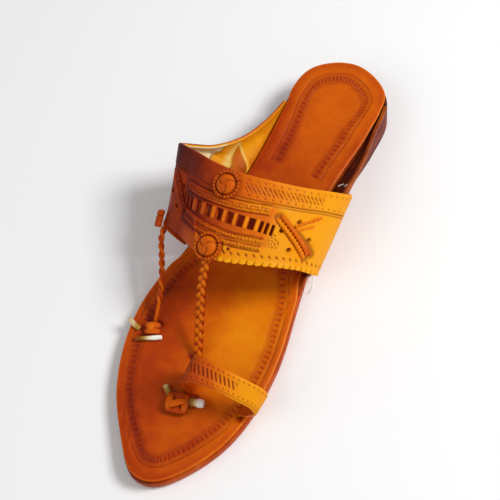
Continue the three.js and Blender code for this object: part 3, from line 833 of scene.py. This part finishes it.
BRAID_STEPS = 240
braid_path, braid_length = route_points(BRAID_ROUTE, BRAID_STEPS)
braid_way = unit(np.gradient(braid_path, axis=0))
braid_side = unit(np.array([1.0, 0, 0]) - braid_way[:, :1] * braid_way)
braid_up = -np.cross(braid_way, braid_side)
braid_up *= np.sign(braid_up[:, 2:])
strands = []
for number in range(3):
    turn = 2 * math.pi * (np.linspace(0, braid_length, BRAID_STEPS) / BRAID_PITCH + number / 3)
    path = braid_path + braid_side * (1.5 * np.sin(turn))[:, None] \
        + braid_up * (0.62 * np.sin(2 * turn))[:, None]
    strand = laid_along("braid_strand_%d" % number, path, braid_side, 2.5, 1.55, 10)
    own = own_points(strand)
    nearest = np.argmin(np.linalg.norm(own[:, None, :] - path[None, ::4], axis=2), axis=1) * 4
    above = ((own - braid_path[nearest]) * braid_up[nearest]).sum(1)
    # painted highlight and shade: each strand is lightened on its top and darkened below and in the
    # gaps between strands
    tint(strand, 0.74 - 0.36 * ramp(above, -0.4, 1.5), 0.95 * (1 - ramp(above, -0.8, 0.7)),
         0.4 * ramp(above, 0.9, 1.6))
    strands.append(strand)
braid = joined("braid_plait", strands)
finish_piece(braid, strap_leather, "strap_leather", "upper", angle=80)

# ---- Side thong ------------------------------------------------------------------------------
# Two thin thongs, twisted together, hang from the band's outer front corner. Near the sole they
# part, and both go down through the insole beside the little toe.
THONG_START = on_band(0.185, 0.95, -BAND_WALL / 2)
THONG_ROUTE = np.array([
    THONG_START, (-49.6, -13.5, 30.5), (-44.6, -23, 29), (-39.6, -33, 25.6), (-36.8, -42, 20),
    (-35.6, -49.5, 13.6), (-35.5, -53, 9.4), (-35.4, -53.8, STRAP_FOOT),
])
THONG_STEPS = 150
thong_path, thong_length = route_points(THONG_ROUTE, THONG_STEPS)
thong_way = unit(np.gradient(thong_path, axis=0))
thong_side = unit(np.cross(thong_way, [0, 0, 1.0]))
thong_up = np.cross(thong_side, thong_way)
part = np.linspace(0, 1, THONG_STEPS)
twist = 2 * math.pi * thong_length * np.minimum(part, 0.74) / 9.5
strands = []
for number in range(2):
    angle = twist + number * math.pi
    spread = 0.85 + 0.9 * ramp(part, 0.7, 0.86) * (1 - ramp(part, 0.9, 1))
    path = thong_path + thong_side * (spread * np.cos(angle))[:, None] \
        + thong_up * (spread * np.sin(angle))[:, None]
    strand = laid_along("thong_strand_%d" % number, path, thong_side, 1.9, 1.7, 10)
    tint(strand, 0.7 - 0.18 * number, wear_and_highlight=0.2)
    strands.append(strand)
thong = joined("side_thong", strands)
finish_piece(thong, strap_leather, "strap_leather", "upper", angle=80)

# ---- Rosettes --------------------------------------------------------------------------------
# Two rosettes are wetted and pressed over a domed punch, with a ring of seed beads round them,
# and pinned through the band. One sits on its rear border and one over the braid at its front.
ROSETTE_RADIUS, ROSETTE_DOME, ROSETTE_HEIGHT, ROSETTE_RIM = 8.0, 5.4, 4.2, 1.4
BEADS = 22


def rosette(name, node, across, down, dye_of):
    bpy.ops.object.select_all(action="DESELECT")
    bpy.ops.mesh.primitive_circle_add(vertices=96, radius=ROSETTE_RADIUS, fill_type="TRIFAN")
    disc = bpy.context.object
    disc.name = disc.data.name = name
    edit(disc, lambda: pick(disc, "edges", lambda e: min(v.co.length for v in e.verts) < 0.001),
         lambda: bpy.ops.mesh.subdivide(number_cuts=30))
    flat = points_of(disc)
    radius, turn = np.hypot(flat[:, 0], flat[:, 1]), np.arctan2(flat[:, 1], flat[:, 0])
    share = np.clip(radius / ROSETTE_DOME, 0, 1)
    dome = (ROSETTE_HEIGHT - ROSETTE_RIM) * np.sqrt(np.clip(1 - share ** 2.4, 0, 1))
    petals = np.abs(np.sin(1.5 * turn + 0.55 * share * math.pi + 0.6))
    crease = np.clip(1 - petals * share / 0.3, 0, 1) ** 1.5 * ramp(share, 0.1, 0.35)
    moat = engraved(radius - ROSETTE_DOME - 0.2, 0.5)
    spoke = ((turn / (2 * math.pi) * BEADS) % 1 - 0.5) * 2 * math.pi * 6.9 / BEADS
    bead = np.clip(1 - (spoke ** 2 + (radius - 6.9) ** 2) / 0.95 ** 2, 0, 1)
    height = ROSETTE_RIM + dome * (radius < ROSETTE_DOME) - 0.55 * crease - 0.4 * moat \
        + 0.75 * np.sqrt(bead) * (radius > 5.7)
    height -= 0.9 * ramp(radius, 7.4, 8.0)
    height = np.maximum(height, 0.35)
    point, over, back, out = strip_frame(BAND, across, down)
    place(disc, point + flat[:, :1] * over + flat[:, 1:2] * back
          + (height + GAP + 0.1)[:, None] * out)
    between = (radius > 5.9) * (1 - np.sqrt(bead)) * (radius < 7.9)
    tint(disc, dye_of - 0.14 * share + 0.15 * (radius > ROSETTE_DOME),
         np.clip(crease * 0.7 + 0.75 * moat + 0.55 * between, 0, 1), np.clip(0.5 * bead, 0, 1))
    if disc.data.polygons[0].normal.dot(Vector(out)) < 0:
        turn_over(disc)
    applied(disc, "SOLIDIFY", thickness=0.5 * MM, offset=-1)
    finish_piece(disc, strap_leather, "strap_leather", node, angle=80)


rosette("rosette_rear_disc", "rosette_rear", *ROSETTE_SPOTS[0], 0.58)
rosette("rosette_front_disc", "rosette_front", *ROSETTE_SPOTS[1], 0.56)

# ---- Laced crosses ---------------------------------------------------------------------------
# Beside the windows, at both ends, thin twisted thongs are laced through punched holes into a
# slanting cross. They lie on the band's face and their ends are drawn through to its inner side.
def laced(start, end, offset, wide, thick):
    """A thong from hole to hole on the band's face, "offset" millimetres beside the line."""
    share = np.linspace(0, 1, 64)
    across = start[0] + (end[0] - start[0]) * share
    down = start[1] + (end[1] - start[1]) * share
    over, back = (end[0] - start[0]) * BAND_LENGTH, (end[1] - start[1]) * BAND_WIDTH
    size = math.hypot(over, back)
    across = across - offset * back / size / BAND_LENGTH
    down = down + offset * over / size / BAND_WIDTH
    lift = (thick * 0.42 + 0.1) * np.sin(math.pi * np.clip(share, 0.03, 0.97)) ** 0.35 - 0.35
    path = on_band(across, down, lift)
    *_, out = strip_frame(BAND, across, down)
    way = np.gradient(path, axis=0)
    twists = 1 + 0.2 * np.sin(share * size / 2.6 * 2 * math.pi + 2 * offset)
    return laid_along("lace", path, np.cross(way, out), wide, thick, 10, taper=twists)


lacing = []
for (start, end), offset, wide, thick, dark in (
        (CROSS_PAIR, -1.35, 2.5, 2.3, 0.5), (CROSS_PAIR, 1.35, 2.5, 2.3, 0.34),
        (CROSS_SHORT, 0.4, 2.2, 1.9, 0.56), (((0.700, 0.49), (0.782, 0.335)), 0.0, 1.5, 1.3, 0.46),
        (((0.700, 0.55), (0.768, 0.455)), 0.0, 1.2, 1.1, 0.4), (OUTER_PAIR, -1.2, 2.2, 2.0, 0.86),
        (OUTER_PAIR, 1.2, 2.2, 2.0, 0.74)):
    lace = laced(start, end, offset, wide, thick)
    tint(lace, dark, wear_and_highlight=0.5 - 0.5 * dark)
    lacing.append(lace)
crosses = joined("laced_crosses", lacing)
finish_piece(crosses, strap_leather, "strap_leather", "upper", angle=80)

# ---- Thong tab -------------------------------------------------------------------------------
# A folded tab of hide clasps the top of the side thong to the band's outer front corner. It is
# wrapped round three times and its loose end is tucked under.
point, over, back, out = strip_frame(BAND, 0.178, 0.9)
wraps = []
for slide, tilt in ((-2.2, 0.25), (0.9, -0.1), (3.4, -0.35)):
    turn = np.linspace(-2.5, 2.5, 40)
    centre = point + back * (-1 - slide) + out * 2.7
    path = centre + over * (2.5 * np.sin(turn))[:, None] + out * (1.75 * np.cos(turn))[:, None] \
        + back * (tilt * 1.6 * np.sin(turn))[:, None]
    wrap = laid_along("wrap", path, back, 3.6, 1.2, 10)
    tint(wrap, 0.8 - 0.12 * ramp(own_points(wrap)[:, 1], -20, 0), wear_and_highlight=0.3)
    wraps.append(wrap)
tab = joined("thong_tab_wrap", wraps)
finish_piece(tab, strap_leather, "strap_leather", "thong_tab", angle=80)

# ---- Toe loop --------------------------------------------------------------------------------
# The loop over the big toe is a narrow strip, tooled like the band with a row of slanting cuts
# between two rows of dots. Both its legs go down through slits in the insole.
LOOP_WALL = 2.1
LOOP_ROUTE = np.array([
    (-0.8, -69.8, STRAP_FOOT, -0.8, -82.8, STRAP_FOOT), (-0.8, -69.7, 9.7, -0.8, -82.8, 9.7),
    (-1.4, -69.4, 15, -1.6, -82.8, 14.5), (-2, -68.6, 26, -2, -82.8, 24),
    (1.8, -67.8, 34.8, 2.6, -82.6, 32.2), (11.5, -68.2, 37, 12.4, -81.3, 33.6),
    (21.8, -68.6, 36, 22.4, -80.3, 32), (31, -68, 32.5, 31.4, -79.8, 28.8),
    (39.5, -67, 26.5, 38.8, -79, 23.6), (42.6, -66.8, 18.5, 41.4, -79.4, 16.8),
    (39.2, -67.8, 12.6, 37.8, -80.6, 12), (34, -69.3, 9.9, 32.4, -82.1, 9.9),
    (33.8, -69.4, STRAP_FOOT, 32.2, -82.2, STRAP_FOOT),
])
LOOP, LOOP_LENGTH = spaced(LOOP_ROUTE, (LOOP_ROUTE[:, :3] + LOOP_ROUTE[:, 3:]) / 2)
LOOP_WIDTH = 13.0
LOOP_COLUMNS, LOOP_ROWS = 250, 30
loop, column, row = blank("toe_loop_hide", LOOP_COLUMNS, LOOP_ROWS)
across, down = column / LOOP_COLUMNS, row / LOOP_ROWS
along, off = across * LOOP_LENGTH, down * LOOP_WIDTH
high, groove_and_shade = 0 * across, 0 * across
tooled_length = inside(across, 0.2, 0.86, 0.01)
for line in (1.9, 10.2):
    press(high, groove_and_shade, tooled_length * punched(along, off - line, 3.0, 0.55), 0.4, 0.8)
press(high, groove_and_shade, inside(across, 0.26, 0.6, 0.01)
      * stamped(along, off - 5.9, 2.5, 4.2, 0.5, lean=0.5), 0.5, 1.0)
press(high, groove_and_shade, engraved(off - 11.6, 0.45), 0.25, 0.6)
rounded = np.clip(1 - np.minimum(off, LOOP_WIDTH - off) / 1.0, 0, 1)
high -= 0.6 * rounded ** 2
_, _, _, out = strip_frame(LOOP, across, down)
facing = np.sign((out * (on_strip(LOOP, across, down) - np.array([18, -75, 16]))).sum(1))
out *= facing[:, None]
place(loop, on_strip(LOOP, across, down))
tint(loop, 0.66 - 0.58 * ramp(across, 0.28, 0.66) + 0.1 * rounded, groove_and_shade, 0.4 * rounded)
remember(loop, out, high)
thicken(loop, LOOP_WALL, dye=0.55)
finish_piece(loop, strap_leather, "strap_leather", "toe_loop", angle=70)

# ---- Knots and thong ends --------------------------------------------------------------------
# The straps' thongs are knotted on top of the insole, and their ends stick out of the knots,
# rolled up, with the pale flesh side of the hide outwards. A knot is a few flat folds of thong.
PALE_DYES = ((0.0, "fbf6ea"), (0.35, "e2cfa6"), (0.7, "b08a3a"), (1.0, "8a4a10"))
pale_leather = leather("pale_leather_rolled", PALE_DYES, "4a2c14", rough=(0.5, 0.7), coat=0.05,
                       grain=0.3, cloud=0.7)


def rolled_end(name, node, start, end, radius, dye):
    """A rolled end of thong: a tube with a hollow at its outer end, turned twice."""
    length = np.linalg.norm(np.subtract(end, start))
    axis = unit(np.subtract(end, start))
    bpy.ops.object.select_all(action="DESELECT")
    bpy.ops.mesh.primitive_cylinder_add(vertices=24, radius=radius, depth=length)
    roll = bpy.context.object
    roll.name = roll.data.name = name

    def hollow(direction):
        pick(roll, "faces", lambda face: face.normal.z * direction > 0.9)
        for inset, sink in ((0.34, 0.0), (0.12, -0.7), (0.24, 0.5), (0.12, -0.9)):
            bpy.ops.mesh.inset(thickness=inset * radius, depth=sink * radius * 0.4)

    edit(roll, lambda: hollow(1), lambda: hollow(-1),
         lambda: pick(roll, "edges", lambda edge: rise_of(edge) > length * 0.8),
         lambda: bpy.ops.mesh.subdivide(number_cuts=12))
    local = points_of(roll)
    along = local[:, 2] / length
    turn = np.arctan2(local[:, 1], local[:, 0])
    from_axis = np.hypot(local[:, 0], local[:, 1])
    swell = 1 + 0.07 * np.sin(turn * 2 + along * 9) - 0.1 * engraved(turn - along * 4, 0.5)
    squash = np.where(np.abs(along) > 0.42, 0.96, 1.0)
    reach = from_axis * swell * squash
    side = unit(np.cross(axis, [0, 0, 1.0]))
    up = np.cross(side, axis)
    middle = np.add(start, end) / 2
    place(roll, middle + local[:, 2:] * axis + side * (np.cos(turn) * reach)[:, None]
          + up * (np.sin(turn) * reach)[:, None])
    edit(roll, outwards)
    bevelled(roll, 0.18, 2, 40)
    own = (own_points(roll) - middle) @ axis / length
    tint(roll, dye[0] + (dye[1] - dye[0]) * ramp(own, -0.5, 0.5))
    finish_piece(roll, pale_leather, "pale_leather", node, angle=60)


def on_insole(x, y, radius):
    return np.array([x, y, insole_top(y) + GAP + radius])


rolled_end("toe_knot_roll_inner", "toe_knot_end_inner", on_insole(4.6, -86.8, 2.3),
           on_insole(12, -84.6, 2.3), 2.3, (0.9, -0.35))
rolled_end("toe_knot_roll_outer", "toe_knot_end_outer", on_insole(-12, -84, 1.6),
           on_insole(-7.4, -87.6, 1.6), 1.6, (0.55, 0.8))
rolled_end("side_knot_roll", "side_knot_end", on_insole(-40.2, -67.6, 1.3),
           on_insole(-27.2, -60.6, 1.3), 1.3, (1.25, -0.3))


# the side thong's other end comes out at the sole's edge, flat and pale
tab_path, _ = route_points(np.array([on_insole(*spot) for spot in (
    (-49.4, -58.4, 1.1), (-47.2, -59.3, 1.3), (-44.6, -60.4, 1.1), (-41.0, -61.2, 0.9))]), 24)
side_tab = laid_along("side_thong_tip", tab_path, np.array([0.35, 1.0, 0]), 3.0, 1.5, 12)
tint(side_tab, 0.42 + 0.4 * ramp(own_points(side_tab)[:, 0], -47, -42))
finish_piece(side_tab, pale_leather, "pale_leather", angle=70)


def knot(name, node, centre, turn, across, along, height, folds):
    """Flat folds of thong laid over each other round a centre on the insole. Each fold has its
    turn, its shift sideways, its width and the height of its crown."""
    parts = []
    base = insole_top(centre[1]) + GAP
    for number, (fold_turn, shift, wide, crown) in enumerate(folds):
        angle = turn + fold_turn
        way = np.array([math.cos(angle), math.sin(angle), 0])
        beside = np.array([-way[1], way[0], 0])
        share = np.linspace(-1, 1, 36)
        reach = along / 2 if abs(math.sin(fold_turn)) > 0.5 else across / 2
        arc = np.sqrt(np.clip(1 - (np.abs(share) * 0.96) ** 2.4, 0, 1))
        path = np.array([centre[0], centre[1], base]) + beside * shift \
            + way * (share * (reach - 0.6))[:, None] \
            + np.array([0, 0, 1.0]) * (0.7 + (crown - 1.3) * arc)[:, None]
        part = laid_along("fold", path, beside, wide, 1.3, 12,
                          taper=0.55 + 0.45 * np.sqrt(np.clip(1 - share ** 2, 0, 1)))
        own = own_points(part)
        # painted highlight and shade: each fold is lightened on its crown and darkened low down
        # between the folds
        lift = ramp(own[:, 2], base + 0.4, base + height)
        tint(part, 0.84 - 0.32 * lift, 0.95 * (1 - ramp(own[:, 2], base + 0.6, base + 3.2)),
             0.3 * lift)
        parts.append(part)
    piece = joined(name, parts)
    finish_piece(piece, strap_leather, "strap_leather", node, angle=80)


knot("toe_knot_folds", "toe_knot", (-1.2, -90.2), 0.25, 13.5, 12.5, 5.8,
     ((0.0, -4.0, 3.8, 3.2), (0.0, 4.0, 4.0, 3.4), (1.571, -4.4, 3.9, 4.4), (1.571, 4.2, 3.9, 4.8),
      (1.571, 0.1, 3.2, 3.4), (0.45, -0.6, 3.8, 5.8)))
tail_path, _ = route_points(np.array([on_insole(*spot) for spot in (
    (7.6, -82.2, 0.8), (4.4, -83.3, 1.6), (1.6, -85.3, 1.9), (-0.6, -87.2, 0.9))]), 24)
knot_tail = laid_along("toe_knot_tail", tail_path, np.array([0.4, -1.0, 0]), 3.0, 1.3, 12)
tint(knot_tail, 0.78 - 0.2 * ramp(own_points(knot_tail)[:, 2], 15, 18))
finish_piece(knot_tail, strap_leather, "strap_leather", angle=80)
knot("side_knot_folds", "side_knot", (-34.2, -58.3), 0.4, 10.5, 7, 4.4,
     ((0.0, -1.7, 3.6, 3.4), (0.0, 1.7, 3.6, 3.6), (1.2, 0.9, 3.8, 4.4)))

# ---- Ears ------------------------------------------------------------------------------------
# Each ear is a thin side flap of hide, lined with pale kid. It stands on the outsole's rim, runs
# up under the band, and dies away towards the heel. Its lining is sewn in panels.
EARS = {
    "ear_lateral": (OUTER, 0.0, 0.22, 0.98, 0.9, np.array([
        (47, 1, 1), (49.5, 0.8, 0.84), (52, 0.63, 0.7), (58, 0.41, 0.54), (66, 0.22, 0.42),
        (78, 0.08, 0.29), (88, 0.02, 0.19), (97, 0, 0.11)])),
    "ear_medial": (INNER, 1.0, 0.85, 1.12, 0.9, np.array([
        (57, 1, 1), (67, 0.86, 0.8), (80, 0.58, 0.54), (98, 0.15, 0.28), (110, 0.02, 0.18),
        (118, 0, 0.1)])),
}
EAR_UP, EAR_UNDER, EAR_BEHIND = 56, 48, 84
FOOT_SHARE = 0.12


def flap(side, foot, top, front_at_foot, front_at_top, way):
    """A row of the ear from its foot on the outsole's rim to its top, under the band at "way"."""
    up = np.linspace(0, 1, EAR_UP + 1)
    share = np.clip((up - FOOT_SHARE) / (1 - FOOT_SHARE), 0, 1)
    front = front_at_foot + (front_at_top - front_at_foot) * share
    points = on_band(foot + (top - foot) * share, way * front, -BAND_WALL - GAP)
    y = points[0, 1]
    foot_point = np.array([edge_x(side, y), y, outsole_top(y) + GAP])
    low = up < FOOT_SHARE
    points[low] = foot_point + (points[0] - foot_point) * (up[low] / FOOT_SHARE)[:, None]
    return points


def ear_shape(side, foot, top, front_at_foot, front_at_top, tail):
    """The ear's outer face as rows from its tail to under the band, and its outward normals."""
    first = flap(side, foot, top, front_at_foot, front_at_top, 0.0)
    rows = []
    for y in np.linspace(tail[-1, 0], tail[0, 0], EAR_BEHIND + 1)[:-1]:
        flare, rise = through(tail, y)
        rows.append(np.column_stack([
            edge_x(side, y) + (first[:, 0] - first[0, 0]) * flare,
            y + (first[0, 1] - tail[0, 0]) + (first[:, 1] - first[0, 1]) * flare,
            outsole_top(y) + GAP + (first[:, 2] - first[0, 2]) * rise]))
    rows += [flap(side, foot, top, front_at_foot, front_at_top, way)
             for way in np.linspace(0, 1, EAR_UNDER + 1)]
    grid = np.array(rows)
    out = unit(np.cross(np.gradient(grid, axis=0), np.gradient(grid, axis=1)))
    return grid, out * np.sign((out * (grid - BAND_INSIDE)).sum(2))[:, :, None]


def ear(node, side, *sizes):
    grid, out = ear_shape(side, *sizes)
    tail = sizes[-1]
    piece, column, row = blank(node + "_flap", EAR_UP, len(grid) - 1)
    place(piece, grid[row, column])
    up = column / EAR_UP
    rim = np.clip(1 - (1 - up) / 0.04, 0, 1)
    tint(piece, 0.74 + 0.13 * (side == OUTER), wear_and_highlight=0.4 * rim * (side == OUTER))
    remember(piece, out[row, column], 0 * up)
    behind = np.clip((EAR_BEHIND - row) / EAR_BEHIND, 0, 1) * (tail[-1, 0] - tail[0, 0])
    # under marks the rows under the band, where the lining is given painted shade
    under = ramp(row, EAR_BEHIND + 1, EAR_BEHIND + 14)
    thicken(piece, EAR_WALL, **LININGS[node](up, behind, under, rim))
    return piece


def outer_lining(up, behind, under, rim):
    """Pale kid in the front corner, gold behind an arched seam, and a pointed leaf tab."""
    height = 30.0
    seam = (up - 0.48 - 0.031 * behind - 0.0019 * behind ** 2) * height
    pale = ramp(seam, -0.3, 0.3) * (behind < 14)
    leaf_front = 0.21 + 0.034 * behind + 0.0004 * behind ** 2
    leaf_back = 0.02 + 0.016 * behind + 0.0033 * behind ** 2
    in_leaf = np.clip(np.minimum(leaf_front - up, up - leaf_back) * height / 0.6 + 0.5, 0, 1) \
        * (behind < 12.2)
    off_leaf = np.minimum(np.abs(leaf_front + 0.05 - up), np.abs(up - leaf_back + 0.05)) * height
    beside_leaf = np.clip(1 - off_leaf / 2.6, 0, 1) * (behind < 14) * (1 - in_leaf)
    stitched = np.maximum(engraved(seam, 0.5) * (behind < 11),
                          np.maximum(engraved((up - leaf_front) * height, 0.45),
                                     engraved((up - leaf_back) * height, 0.45)) * (behind < 12.4))
    dye = 0.4 + 0.14 * (1 - ramp(up, 0.0, 0.3)) + 0.1 * ramp(behind, 12, 40)
    dye = dye * (1 - pale) + 0.03 * pale - 0.24 * beside_leaf + 0.2 * in_leaf
    # painted shade: under the band the lining is darkened to 0.9, where the band shades it
    return {"dye": dye * (1 - under) + 0.9 * under, "groove_and_shade": 0.95 * stitched * (1 - under),
            "wear_and_highlight": 0.3 * rim}


# painted shade: the inner ear's lining is dyed dark, as it lies in shade, and its top edge is
# lighter as a painted highlight
def inner_lining_in_shade(up, behind, under, rim):
    return {"dye": 0.9 - 0.12 * rim, "groove_and_shade": 0 * up, "wear_and_highlight": 0 * rim}


EAR_DYES = ((0.0, "f0e6bc"), (0.2, "eec868"), (0.4, "f0a012"), (0.62, "c8620a"), (0.84, "70240a"),
            (1.0, "30100a"))
LININGS = {"ear_lateral": outer_lining, "ear_medial": inner_lining_in_shade}
ear_leather = leather("ear_leather_lined", EAR_DYES, "4a1606", rough=(0.4, 0.6), coat=0.05,
                      grain=0.2, cloud=0.3)
for node, sizes in EARS.items():
    finish_piece(ear(node, *sizes), ear_leather, "strap_leather", node, angle=70)

# ---- Threads ---------------------------------------------------------------------------------
# Waxed cotton thread sews the band's inner foot and the inner ear down. Its stitches show in the
# ear's corner, and two loose ends are left at the foot's front corner.
THREAD_THICK = 0.9


def on_ear(node, behind, up):
    """A point on the inner face of an ear, some rows behind the band and some way up."""
    grid, out = ear_shape(*EARS[node])
    at = (EAR_BEHIND - behind, round(up * EAR_UP))
    return grid[at] - out[at] * (EAR_WALL + THREAD_THICK * 0.3)


THREADS = (
    [(31.6, 10.4, 10.8), (31.2, 6.0, 11.6), (31.4, 3.2, 12.0), (33.0, 2.5, 12.2),
     (34.8, 2.9, 12.0)],
    [(33.0, 9.4, 13.6), (33.4, 5.6, 13.2), (34.8, 1.6, 11.2), (34.6, -0.9, 9.2), (33.8, -2.6, 7.6)],
    *[[on_ear("ear_medial", behind + step, up + step * 0.04) for step in (0, 1, 3)]
      for behind, up in ((2, 0.14), (3, 0.32), (5, 0.5), (7, 0.66))],
)
threads = []
for spots in THREADS:
    path, _ = route_points(np.array(spots, float), 24)
    way = np.gradient(path, axis=0)
    stitch = laid_along("stitch", path, np.cross(way, [0.3, 0.2, 1.0]), THREAD_THICK,
                        THREAD_THICK, 8)
    tint(stitch, 0.05)
    threads.append(stitch)
thread = joined("sewing_thread", threads)
COTTON_DYES = ((0.0, "fffaf0"), (0.4, "e8dcc0"), (1.0, "a89468"))
cotton = leather("waxed_cotton_thread", COTTON_DYES, "8a7850", rough=(0.6, 0.8), coat=0.02,
                 grain=0.5, cloud=0.3)
finish_piece(thread, cotton, "thread", angle=80)

# ---- Studio ----------------------------------------------------------------------------------
# A pale floor, one large soft light from the inner side, a weaker one from the other side, and
# a camera above the toe, looking down at the instep.
AZIMUTH, ELEVATION, ROLL = (math.radians(a) for a in (23.79487, 67.56349, 0.91736))
DISTANCE, FOCUS, CENTRE_X, CENTRE_Y = 691.8, 769.708, 168.416, 237.9
AIM = Vector((-3.0, 2.0, 24.0))
LENS = 88.0

bpy.ops.object.select_all(action="DESELECT")
bpy.ops.mesh.primitive_plane_add(size=6)
floor = bpy.context.object
floor.name = floor.data.name = "floor"
floor_paint = bpy.data.materials.new("floor_paint")
floor_paint.use_nodes = True
paint = floor_paint.node_tree.nodes["Principled BSDF"]
paint.inputs["Base Color"].default_value = (0.95, 0.95, 0.95, 1)
paint.inputs["Roughness"].default_value = 0.9
floor.data.materials.append(floor_paint)

back = Vector((math.sin(AZIMUTH) * math.cos(ELEVATION), -math.cos(AZIMUTH) * math.cos(ELEVATION),
               math.sin(ELEVATION)))
right = Vector((math.cos(AZIMUTH), math.sin(AZIMUTH), 0))
up = back.cross(right)
right, up = (math.cos(ROLL) * right + math.sin(ROLL) * up,
             math.cos(ROLL) * up - math.sin(ROLL) * right)
across_view = (CENTRE_X - 250) / FOCUS * DISTANCE
up_view = -(CENTRE_Y - 250) / FOCUS * DISTANCE
seat = back * DISTANCE - right * across_view - up * up_view + Vector(SHIFT)
aim = AIM + Vector(SHIFT)
view_back = (seat - aim).normalized()
view_right = up.cross(view_back).normalized()
view_up = view_back.cross(view_right)
camera = bpy.data.objects.new("camera", bpy.data.cameras.new("camera"))
bpy.context.scene.collection.objects.link(camera)
camera.matrix_world = Matrix.Translation(seat * MM) @ Matrix(
    (view_right, view_up, view_back)).transposed().to_4x4()
camera.data.lens = LENS
camera.data.sensor_width = 36
bpy.context.scene.camera = camera


def soft_light(name, place_at, size, power, colour=(1, 1, 1)):
    lamp = bpy.data.objects.new(name, bpy.data.lights.new(name, "AREA"))
    bpy.context.scene.collection.objects.link(lamp)
    lamp.data.size, lamp.data.energy, lamp.data.color = size, power, colour
    lamp.location = place_at
    towards = Vector((0, 0, 0.02)) - Vector(place_at)
    lamp.rotation_euler = towards.to_track_quat("-Z", "Y").to_euler()


soft_light("key_light", (0.75, 0.42, 1.0), 0.42, 12.5)
soft_light("fill_light", (-0.5, -0.7, 1.0), 0.9, 3.2)
world = bpy.data.worlds.new("studio")
bpy.context.scene.world = world
world.use_nodes = True
world.node_tree.nodes["Background"].inputs["Color"].default_value = (1, 1, 1, 1)
world.node_tree.nodes["Background"].inputs["Strength"].default_value = 0.33
bpy.context.scene.view_settings.view_transform = "Standard"
